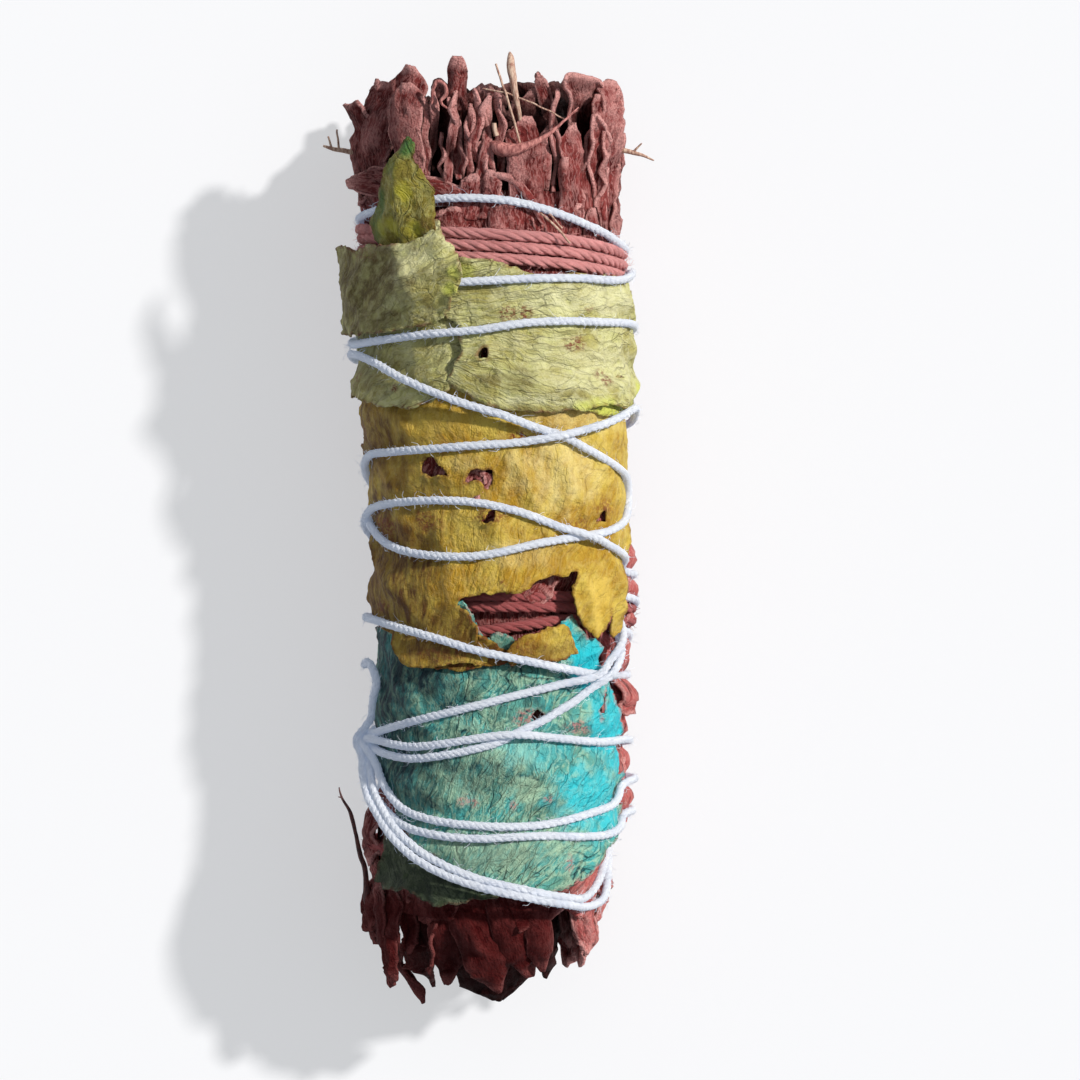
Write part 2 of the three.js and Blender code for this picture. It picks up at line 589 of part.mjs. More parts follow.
// Sage sprigs. A leaf is [angle, depth, root along, tip along, width, curl, drift, flare]:
// depth is measured from the outside of the packed leaves, curl is how far its sides bend
// inwards, drift how many degrees its tip moves round the stick, and flare how many
// millimetres the tip moves outwards.
const UPPER_LEAVES = [
  [-72, 0.85, 30, 48.8, 11, 0.7, 0, 1.7], [-40, 0.95, 33, 50.2, 4.4, 0.9, 0, 0.4],
  [-33, 2.4, 34, 51.8, 4, 0.8, 3, 0],
  [-13, 5.2, 32, 52.4, 4.4, 1.1, 0, 0], [13, 3.8, 34, 50.2, 3.2, 0.5, 2, 0],
  [20, 0.95, 32, 45.8, 5, 1.2, 2, 0],
  [36, 3.8, 34, 50.4, 7, -0.8, 0, 0.6], [66, 0.85, 30, 50.2, 7.4, 0.4, 0, 1.6],
  [44, 0.85, 31, 45.8, 4.8, 0.9, 2, 0.6],
  [29, 0.95, 30, 41.4, 2.8, 0.8, 0, 0.2], [82, 0.85, 28, 42.6, 3.6, 0.8, 2, 1.0],
  [-5, 0.95, 30, 39.8, 4.6, 1.1, -2, 0.2],
  [9, 0.95, 29, 39.4, 3.2, 0.9, 6, 0.2], [-20, 0.95, 30, 39.2, 5.6, 0.5, -6, 0.2],
  [-89, 0.95, 28, 40.4, 5.5, 0.5, -3, 1.2],
];
const LOWER_LEAVES = [
  [-66, 0.85, -32, -52.4, 3.6, 0.8, 0, 2.4], [-80, 0.85, -28, -46.0, 7.6, 0.6, 2, 1.2],
  [-43, 1.05, -34, -50.4, 3.6, 0.9, 0, 0.2],
  [-27, 0.95, -34, -51.8, 4.6, 1.0, 2, 0], [-14, 2.4, -34, -50.6, 3.2, 0.8, 0, 0],
  [-2, 2.6, -34, -52.3, 6.4, 0.9, 2, 0],
  [9, 1.05, -32, -50.4, 5.6, 1.2, 12, 0], [24, 0.95, -33, -48.8, 4, 1.1, 2, 0.3],
  [37, 2.2, -34, -49.2, 5.6, 0.7, 0, 0.2],
  [62, 0.95, -30, -47.8, 4.8, 0.7, 2, 0.5], [80, 0.95, -28, -43.6, 5.4, 0.6, 0, 0.8],
  [-34, 0.85, -33, -44.4, 7.2, 0.4, 0, 0.6],
];
// Leaves pressed against the outside where no petal lies, on the far sides and underneath
const PRESSED_LEAVES = [
  [84, 0.75, 13, -12, 6.4, 0.5, 2, 0], [82, 0.75, -4, -30, 6.6, 0.5, -3, 0],
  [80, 0.75, -22, -40, 6.0, 0.5, -4, 0],
  [124, 0.75, 30, 4, 7.0, 0.5, 4, 0], [129, 0.75, 6, -22, 7.4, 0.5, -4, 0],
  [126, 0.75, -12, -40, 7.0, 0.5, 2, 0],
  [-125, 0.75, 32, 6, 7.4, 0.5, -3, 0], [-131, 0.75, 10, -18, 7.0, 0.5, 4, 0],
  [-124, 0.75, -10, -38, 7.4, 0.5, -2, 0],
  [-76, 0.75, -28, -42, 6.4, 0.5, 3, 0.2],
];
// Where the leaves of the underside swell between the cords and meet the surface: [place along
// the stick, length]
const RESTING_PLACES = [[22.2, 3.4], [13.2, 9.6], [-0.2, 5.2], [-23, 3.4]];
const SWELL_WIDTH = 10;
const SWELL_HALF_HEIGHT = 4.2;
const SWELL_CENTRE = 3.4; // height of a swell's middle; the part beneath the surface is cut off

function leafProfile(t) {
  return 0.45 + 0.55 * Math.sin(Math.PI * Math.min(1, 0.12 + 0.72 * t));
}

// A curled leaf as a closed blade
function leafSolid([angle, depth, root, tip, width, curl, drift, flare]) {
  const alongSteps = 3;
  const acrossSteps = 2;
  const tipCut = 0.9; // how far the tip's corners are drawn back
  const rootSink = 0.6;
  const sign = Math.sign(curl);
  const fold = Math.abs(curl);
  const point = (t, v, lift) => {
    const half = (width / 2) * leafProfile(t);
    const sink = (sign * half * (1 - Math.cos(v * fold))) / fold;
    const turn = (half * Math.sin(v * fold)) / fold;
    const cut = t === 1 ? Math.abs(v) * tipCut * Math.sign(tip - root) : 0;
    const along = lerp(root, tip, t) - cut;
    const middle = packedRadius(angle, along) - depth - rootSink * (1 - t) + flare * t * t;
    const radius = middle - sink + lift * Math.cos(v * fold);
    const swing = (turn + sign * lift * Math.sin(v * fold)) / radius;
    return place(angle + drift * t * t + THREE.MathUtils.radToDeg(swing), along, radius);
  };
  const face = (side) =>
    Array.from({ length: alongSteps + 1 }, (_, i) =>
      Array.from({ length: acrossSteps + 1 }, (_, j) =>
        point(i / alongSteps, (2 * j) / acrossSteps - 1, (side * LEAF_THICKNESS) / 2),
      ),
    );
  const outward = tip > root ? 1 : -1;
  return solidOf(sheetGeometry(face(outward), face(-outward)));
}

// A round stem between two places
function stemSolid({ line, radius }) {
  const points = line.map(([angle, along, distance]) => place(angle, along, distance));
  return solidOf(tube(points, radius));
}

// Leaves of the far sides and of the inner ring, drawn by rule
function ruledLeaves() {
  const random = seeded(7);
  const between = (low, high) => low + (high - low) * random();
  const leaves = [];
  for (const direction of [1, -1]) {
    const root = direction > 0 ? 32 : -34;
    const tip = () => (direction > 0 ? between(46, 51) : between(-45.5, -50.5));
    for (let angle = 98; angle < 270; angle += 19) {
      const [swung, depth, end] = [angle + between(-3, 3), between(0.8, 1.4), tip()];
      const [width, curl, drift] = [between(4.2, 5.8), between(0.5, 1.1), between(-3, 3)];
      leaves.push([swung, depth, root, end, width, curl, drift, 0.3]);
    }
    for (let angle = 55; angle < 330; angle += 34) {
      const middle = angle > 140 && angle < 220 ? 3.4 : 4.6;
      const [swung, depth, end] = [angle + between(-6, 6), middle + between(-0.4, 0.4), tip()];
      leaves.push([swung, depth, root, end, between(3.8, 5), between(0.6, 1.2), 0, 0]);
    }
  }
  return leaves;
}

// Leaves of the middle sprig
function heartLeaves() {
  const random = seeded(23);
  const between = (low, high) => low + (high - low) * random();
  return [1, -1].flatMap((end) =>
    [20, 140, 260].map((angle) => {
      const depth = packedRadius(angle, end * 40) - 3.2;
      const [swung, tip] = [angle + between(-20, 20), end * between(46, 50.5)];
      return [swung, depth, end * 32, tip, between(3.2, 4), between(0.6, 1.1), 0, 0];
    }),
  );
}

function sectorOf(angle) {
  const start = SPRIG_EDGES[0];
  const turned = THREE.MathUtils.euclideanModulo(angle - start, 360) + start;
  return SPRIG_EDGES.findIndex((edge, i) => turned >= edge && turned < SPRIG_EDGES[i + 1]);
}

// The packed part of a sprig: its share of the stick's section, ridged lengthwise
function packedCore(first, last, inner) {
  const stations = 9;
  const arc = 4;
  const rings = Array.from({ length: stations + 1 }, (_, i) => {
    const along = lerp(STEMS_BOTTOM, STEMS_TOP, i / stations);
    const outer = Array.from({ length: arc + 1 }, (_, k) => {
      const angle = lerp(first, last, k / arc);
      const ridge = (RIDGE_DEPTH / 2) * (1 + Math.sin(angle * 0.31 + along * 0.12 + first));
      return place(angle, along, packedRadius(angle, along) - CORE_DEPTH - ridge * (k % 2));
    });
    const back = [last, (first + last) / 2, first].map((angle) => place(angle, along, inner));
    return [...outer, ...back];
  });
  return solidOf(loft(rings));
}

// A closed loft through rings of equal count, each end closed by a fan
function loft(rings) {
  const count = rings[0].length;
  const centre = (ring) =>
    ring.reduce((sum, p) => sum.add(p), new THREE.Vector3()).divideScalar(count);
  const points = [...rings.flat(), centre(rings[0]), centre(rings.at(-1))];
  const index = [];
  for (let r = 0; r + 1 < rings.length; r += 1) {
    for (let k = 0; k < count; k += 1) {
      const n = (k + 1) % count;
      const [a, b, c, d] = [r * count + k, r * count + n, (r + 1) * count + n, (r + 1) * count + k];
      index.push(a, b, c, a, c, d);
    }
  }
  const start = rings.length * count;
  for (let k = 0; k < count; k += 1) {
    const n = (k + 1) % count;
    index.push(start, n, k);
    index.push(start + 1, (rings.length - 1) * count + k, (rings.length - 1) * count + n);
  }
  const positions = points.flatMap((p) => [p.x, p.y, p.z]);
  const geometry = new THREE.BufferGeometry();
  geometry.setAttribute("position", new THREE.Float32BufferAttribute(positions, 3));
  geometry.setIndex(index);
  return geometry;
}

// The wedge of space that belongs to a sprig, from end to end and out past its leaves
function sprigSpace(first, last, inner) {
  const arc = 4;
  const alongs = [-LEAVES_END, -45, -30, -12, 6, 24, 40, LEAVES_END];
  const steps = Array.from({ length: arc + 1 }, (_, k) => k / arc);
  const rings = alongs.map((along) => [
    ...steps.map((t) => place(lerp(first, last, t), along, SPRIG_REACH)),
    ...steps.map((t) => place(lerp(last, first, t), along, inner)),
  ]);
  return solidOf(loft(rings));
}

function restingSwell([along, length]) {
  const ball = new THREE.SphereGeometry(1, 8, 6);
  ball.rotateX(Math.PI / 2);
  ball.scale(SWELL_WIDTH / 2, length / 2, SWELL_HALF_HEIGHT);
  ball.translate(through(CENTRE_LINE, along), along, SWELL_CENTRE);
  return solidOf(ball);
}

const aboveSurface = solidOf(new THREE.BoxGeometry(80, 160, 60).translate(0, 0, 30));

// Stalks and twigs that stand out of single sprigs, through [angle, along, distance from the
// centre line]
const STALKS = [
  {
    sector: 2,
    radius: 0.42,
    line: [[-68, -36, 11.6], [-76, -40, 13.2], [-84, -36.5, 15.4], [-90, -31, 16.8], [-94, -28.9, 18.0]],
  },
  {
    sector: 2,
    radius: 0.45,
    line: [[-74, 38, 13], [-78, 41.5, 15.2], [-81, 43.2, 17.2], [-83, 44.2, 18.6]],
  },
  {
    sector: 5,
    radius: 0.42,
    line: [[78, 38, 13.2], [80, 41, 15.2], [82, 42.3, 17.2], [83, 42.1, 18.4]],
  },
  {
    sector: 3,
    radius: 0.75,
    line: [[-8, 34, 9.6], [-4, 44, 10.4], [0, 48, 10.6]],
  },
  {
    sector: 4,
    radius: 0.75,
    line: [[9, 33, 9.6], [8, 45, 10.4], [8, 52.2, 10.8]],
  },
];

function sprigSolid(sector) {
  const gap = THREE.MathUtils.radToDeg(SPRIG_GAP / 2 / UNDERSIDE_DEPTH);
  const first = SPRIG_EDGES[sector] + gap;
  const last = SPRIG_EDGES[sector + 1] - gap;
  const inner = HEART_RADIUS + SPRIG_GAP;
  const everyLeaf = [...UPPER_LEAVES, ...LOWER_LEAVES, ...ruledLeaves(), ...PRESSED_LEAVES];
  const leaves = everyLeaf.filter(([angle]) => sectorOf(angle) === sector);
  const stalks = STALKS.filter((stalk) => stalk.sector === sector);
  const parts = [...leaves.map(leafSolid), ...stalks.map(stemSolid)];
  if (sector === 0) parts.push(...RESTING_PLACES.map(restingSwell));
  const outside = wasm.Manifold.union(parts)
    .intersect(sprigSpace(first, last, inner))
    .subtract(whiteGroove)
    .subtract(redGroove)
    .intersect(aboveSurface);
  const whole = outside.add(packedCore(first + gap, last - gap, inner + SPRIG_GAP / 3));
  return largestBody(whole.asOriginal().simplify(FINEST_DETAIL));
}

function heartSolid() {
  const sides = 8;
  const ring = (along, radius) =>
    Array.from({ length: sides }, (_, k) => place((360 * k) / sides, along, radius));
  const stems = [STEMS_BOTTOM, -19, 0, 19, STEMS_TOP].map((along) => ring(along, HEART_RADIUS - 0.2));
  const space = [-LEAVES_END, -40, -20, 0, 20, 40, LEAVES_END].map((along) => ring(along, HEART_RADIUS));
  const leaves = heartLeaves().map(leafSolid);
  const whole = wasm.Manifold.union([solidOf(loft(stems)), ...leaves]);
  return largestBody(whole.intersect(solidOf(loft(space))));
}

function named(name, solid, colour, roughness) {
  const material = new THREE.MeshStandardMaterial({ color: colour, roughness, metalness: 0 });
  const mesh = new THREE.Mesh(geometryOf(solid), material);
  mesh.name = name;
  return mesh;
}

const stick = new THREE.Group();
const sprigNames = ["under", "left_low", "left", "top_left", "top_right", "right", "right_low"];
sprigNames.forEach((side, sector) => {
  stick.add(named(`sage_sprig_${side}`, sprigSolid(sector), COLOURS.sage, 0.9));
});
stick.add(named("sage_sprig_heart", heartSolid(), COLOURS.sage, 0.9));
stick.add(named("red_cord", redCord, COLOURS.redCord, 0.9));
PETALS.forEach((petal) => {
  stick.add(named(petal.name, petalSolid(petal), petal.colour, 0.75));
});
stick.add(named("white_cord", whiteCord, COLOURS.whiteCord, 0.85));

export default stick;
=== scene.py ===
"""Looks of a dried sage smudge stick: leafy sprigs, torn rose petals and wound cotton cords.

The tables are in millimetres and degrees. An angle is measured round the stick, with 0 at the top
and 90 at the +X side, and "along" runs from the lower end, negative, to the upper end. The sheet
is the stick's surface rolled out flat, on which a place is [across, along].
"""

import bpy
import numpy as np
from bpy.props import FloatProperty, FloatVectorProperty, IntProperty, PointerProperty
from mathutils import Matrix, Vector


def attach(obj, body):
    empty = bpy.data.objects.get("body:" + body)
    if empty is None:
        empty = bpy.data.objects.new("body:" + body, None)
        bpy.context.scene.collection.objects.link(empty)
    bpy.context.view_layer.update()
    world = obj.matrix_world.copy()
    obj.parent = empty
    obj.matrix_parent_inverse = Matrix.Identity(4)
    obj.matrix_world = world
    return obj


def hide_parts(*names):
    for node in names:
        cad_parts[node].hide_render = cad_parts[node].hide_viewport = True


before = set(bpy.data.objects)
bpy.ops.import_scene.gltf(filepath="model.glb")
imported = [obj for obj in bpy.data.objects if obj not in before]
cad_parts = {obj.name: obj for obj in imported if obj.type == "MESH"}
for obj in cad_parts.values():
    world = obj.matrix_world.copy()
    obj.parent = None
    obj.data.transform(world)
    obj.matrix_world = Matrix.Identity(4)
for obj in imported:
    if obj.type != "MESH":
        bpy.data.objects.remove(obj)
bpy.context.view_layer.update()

bl_info = {
    "name": "Sage smudge stick",
    "version": (1, 0, 0),
    "blender": (4, 5, 0),
    "location": "View3D > Sidebar > Smudge stick",
    "description": "Adds the leaves, petals, cords and stage of a sage smudge stick",
    "category": "Add Mesh",
}

MM = 0.001
AXIS_HEIGHT = 14
UNDERSIDE_DEPTH = 11.2  # from the axis down to the pressed underside
HALF_WIDTH = 15  # of the stick with its leaves, from which a leaf's angle is first guessed
SHEET_RADIUS = 14.5
PER_DEGREE = np.radians(1) * SHEET_RADIUS  # across the sheet

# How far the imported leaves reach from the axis, and the x of the axis, at places along the stick
PACKED_RADIUS = [
    [-53, 10.6], [-48, 12], [-43, 13], [-37, 12.2], [-30, 12], [-19, 11.8], [-12, 11.7], [-6, 12.1],
    [2, 12.5], [10, 12.9], [18, 13.4], [24, 13.8], [31, 14], [38, 14.4], [45, 15.2], [52, 15],
]
CENTRE_LINE = [
    [-50, -0.6], [-38, -0.3], [-28, 0.2], [-18, 0.2], [-10, 0.6], [2, 0.5], [12, 0.1], [24, -0.2],
    [32, -0.6], [42, -1.1], [50, -0.9],
]

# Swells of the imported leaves: [middle angle, half angle, first along, last along, height]
BULGES = [[102, 26, -34, -1, 2.2], [-92, 40, -50, -29, 1.6]]

# Where the cords run: [angle, along]
WHITE_ROUTE = [
    [-104, 35], [-66, 35.6], [-40, 36.3], [-22, 36.7], [-4, 36.7], [12, 36.3], [33, 35], [48, 33.9],
    [61, 33], [76, 32], [110, 31.2], [150, 30.2], [180, 29.4], [230, 28.2], [277, 27.4], [-40, 27.1],
    [-9, 27.4], [18, 27.8], [36, 27.9], [52, 27.8], [64, 28.1], [78, 28.9], [110, 28.4], [150, 26.2],
    [200, 23.6], [250, 21.8], [281, 20.9], [-54, 21.1], [-26, 21.7], [-6, 22.1], [10, 22.8], [26, 23.1],
    [46, 23.1], [69, 23.1], [100, 22.6], [150, 20.6], [200, 19.2], [250, 19.2], [281, 19.8], [-54, 18.6],
    [-39, 16.9], [-24, 15.2], [-11, 13.8], [1, 12.8], [14, 11.4], [27, 10.4], [42, 8.7], [58, 7.1], [70, 6],
    [78, 4.4], [78, 2.6], [70, 1.2], [60, 0.4], [51, -0.2], [36, -0.7], [17, -1.4], [0, -2.4], [-13, -2.9],
    [-32, -2.8], [-49, -2.2], [-63, -1.2], [-78, 0.3], [-110, 1.8], [-150, 4.4], [-180, 6.6], [-230, 10],
    [-270, 12.8], [68, 13.6], [47, 11.9], [31, 10.8], [9, 9.7], [-7, 9.4], [-29, 9], [-51, 8.7], [-73, 8.3],
    [-110, 4.6], [-140, 0.5], [-165, -2.8], [-200, -4.6], [-250, -5.2], [-279, -4.4], [73, -3.3],
    [59, -2.2], [42, -0.9], [26, 0.3], [8, 2], [-9, 3], [-27, 3.3], [-49, 3.1], [-70, 2.6], [-83, 2],
    [-95, -2], [-110, -6.5], [-125, -10.5], [-145, -13.2], [-180, -14.6], [-220, -15.6], [-276, -16.4],
    [62, -16.2], [44, -16], [27, -15.3], [8, -14.3], [-10, -13.3], [-29, -11.9], [-53, -10.6], [-69, -10],
    [-90, -9.8], [-130, -10.8], [-180, -12.4], [-230, -10.8], [-281, -7.6], [76, -9.4], [66, -11.7],
    [53, -14.4], [44, -16.1], [28, -17.1], [9, -18.2], [-8, -19.3], [-26, -20.4], [-48, -21.6],
    [-63, -22.3], [-83, -22.9], [-110, -22.2], [-150, -20.6], [-190, -18.2], [-230, -14.8], [-260, -12.4],
    [-281, -11.1], [68, -12.8], [56, -15.3], [45, -17.5], [36, -19], [28, -20], [21, -21], [9, -22.3],
    [1, -23.4], [-12, -24.3], [-26, -25], [-42, -25.4], [-59, -25.1], [-84, -24.4], [-110, -24.9],
    [-150, -25.2], [-190, -25], [-230, -24.4], [-277, -23.6], [50, -23.6], [28, -23.1], [7, -22.6],
    [-8, -23], [-26, -23.7], [-42, -24.1], [-58, -23.8], [-78, -23.4], [-95, -24.2], [-110, -26.1],
    [-150, -27.6], [-200, -28.2], [-276, -28.3], [64, -30.5], [46, -31.4], [30, -32.2], [16, -32.7],
    [-6, -32.7], [-29, -32.1], [-46, -31], [-58, -29.1], [-70, -26.4], [-80, -24.2], [-95, -22.9],
    [-110, -23.7], [-125, -27], [-145, -30], [-180, -31.4], [-230, -31.8], [-279, -31.9], [72, -32.8],
    [54, -33.9], [36, -34], [21, -33.8], [7, -33.9], [-6, -34.1], [-24, -33.8], [-42, -32.9], [-56, -31.4],
    [-73, -28.4], [-83, -26.6], [-95, -27.8], [-110, -30.4], [-125, -32.8], [-145, -34.4], [-180, -35.2],
    [-230, -35.4], [-276, -35], [77, -36.9], [62, -39.6], [49, -41], [31, -40.7], [12, -39.7], [-6, -38.5],
    [-20, -37.1], [-35, -35.1], [-47, -32.8], [-60, -30.1], [-72, -27.4], [-84, -25.4], [-96, -26.2],
    [-106, -29], [-118, -33.4], [-135, -36.6], [-180, -37.6], [-230, -37.6], [-272, -37.2], [78, -39.2],
    [68, -41.2], [50, -42], [31, -41.5], [12, -40.5], [-6, -39.3], [-20, -38], [-35, -36], [-48, -33.4],
    [-62, -30.4], [-76, -27], [-84, -23.4], [-84, -20.8], [-77, -18.4], [-69, -16.8], [-69, -15.4],
    [-77, -14.8], [-88, -15.2],
]
RED_ROUTE = [
    [-160, 34.2], [-90, 34], [-20, 33], [30, 32.3], [80, 31.2], [180, 32], [270, 33], [-20, 31.7], [30, 31],
    [80, 29.9], [180, 30.6], [270, 31.6], [-20, 30.4], [30, 29.6], [80, 28.6], [180, 27.4], [270, 23],
    [0, 17], [90, 9.5], [180, 3.4], [240, -3], [290, -6.2], [-30, -7.2], [0, -7.3], [40, -7.4], [90, -7.6],
    [180, -7.8], [270, -8.6], [-30, -8.5], [0, -8.5], [40, -8.6], [90, -8.8], [180, -9.6], [270, -11.4],
    [-30, -11.6], [0, -10.9], [40, -9.9], [90, -10.2], [180, -10.9], [270, -15], [0, -17.5], [90, -19],
    [180, -20.6], [270, -25], [0, -29], [90, -31.5], [180, -33.3], [270, -35.4], [340, -36.6],
]

# The turn of the white cord that dips under the left green petal
TUCKED_TURN, TUCKED_REACH, TUCKED_UP_TO = 27.3, 1.2, -11.5
RED_CORD_HEIGHT = 0.62

# How far round the petals reach on each side: [along, angle]
RIGHT_COVER = [
    [-43, 10], [-40, 34], [-36, 58], [-31, 80], [-26, 78], [-20, 66], [-15, 54], [-11, 60], [-5, 62],
    [1, 84], [8, 92], [20, 94], [26, 88], [31, 60], [36, 30],
]
LEFT_COVER = [
    [-43, -20], [-40, -58], [-33, -58], [-29, -64], [-25, -88], [-20, -98], [-14, -88], [-8, -80],
    [-3, -76], [3, -100], [12, -98], [20, -99], [29, -97], [33, -66], [37, -50],
]

# Heights of a petal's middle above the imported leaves: on the leaves, on another petal, and of the
# uppermost petal's middle at places along the stick. BARE is where no petal lies.
FIRST_LAYER, SECOND_LAYER, BARE = 1.95, 2.85, -0.3
COVER_HEIGHT = [
    [-46, BARE], [-44, BARE], [-42.4, 1.2], [-41, 2.7], [-38, SECOND_LAYER], [-34.5, SECOND_LAYER],
    [-31, FIRST_LAYER], [-17.5, FIRST_LAYER], [-15.5, SECOND_LAYER], [-7.5, SECOND_LAYER],
    [-3, FIRST_LAYER], [10, FIRST_LAYER], [12, SECOND_LAYER], [17, SECOND_LAYER], [20, FIRST_LAYER + 0.1],
    [28.5, FIRST_LAYER], [32, 0.6], [34.5, BARE], [40, BARE],
]

# Sprigs from the underside on, clockwise as seen from the lower end, and the angles between them.
# The heart has no side of its own and takes the leaves that lie deeper than its depth.
SPRIG_EDGES = [-206, -154, -100, -48, 3, 51, 104, 154]
SPRIG_NAMES = ["under", "left_low", "left", "top_left", "top_right", "right", "right_low", "heart"]
HEART_DEPTH = 8.2

# Curled leaves: [angle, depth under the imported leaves, root, tip, width, curl, drift round the
# stick, flare of the tip]. Roots and tips are places along the stick.
BROAD_LEAVES = [
    [-72, 0.85, 30, 48.8, 11, 0.7, 0, 1.7], [66, 0.85, 30, 50.2, 7.4, 0.4, 0, 1.6],
    [82, 0.85, 28, 42.6, 3.6, 0.8, 2, 1], [-89, 0.95, 28, 40.4, 5.5, 0.5, -3, 1.2],
    [-66, 0.85, -32, -52.4, 3.6, 0.8, 0, 2.4], [-80, 0.85, -28, -46, 7.6, 0.6, 2, 1.2],
    [62, 0.95, -30, -47.8, 4.8, 0.7, 2, 0.5], [80, 0.95, -28, -43.6, 5.4, 0.6, 0, 0.8],
    [84, 0.75, 13, -12, 6.4, 0.5, 2, 0], [82, 0.75, -4, -30, 6.6, 0.5, -3, 0],
    [80, 0.75, -22, -40, 6, 0.5, -4, 0], [124, 0.75, 30, 4, 7, 0.5, 4, 0],
    [129, 0.75, 6, -22, 7.4, 0.5, -4, 0], [126, 0.75, -12, -40, 7, 0.5, 2, 0],
    [-125, 0.75, 32, 6, 7.4, 0.5, -3, 0], [-131, 0.75, 10, -18, 7, 0.5, 4, 0],
    [-124, 0.75, -10, -38, 7.4, 0.5, -2, 0], [-76, 0.75, -28, -42, 6.4, 0.5, 3, 0.2],
]

# Leaves of the right side that lie over the red cord and swell out between the white cord's turns
COVERING_LEAVES = [
    [84, -0.9, 5.5, -8, 7.4, 0.35, 0, 0], [98, -0.8, 3, -11, 7.2, 0.35, 3, 0],
    [80, -0.8, -5, -15.5, 7, 0.4, 2, 0], [93, -1, -9.5, -22, 7.4, 0.4, -2, 0],
    [82, -0.7, -13, -24.5, 6.4, 0.4, 1, 0], [104, -0.8, -12, -25, 7.2, 0.35, 2, 0],
    [86, -0.9, -21, -33, 7.2, 0.4, -2, 0], [99, -0.9, -22.5, -35.5, 7.2, 0.35, 1, 0],
    [80, -0.7, -29, -39.5, 6.6, 0.4, -3, 0], [88, -0.4, -31, -40.6, 6.8, 0.45, -4, 0],
]

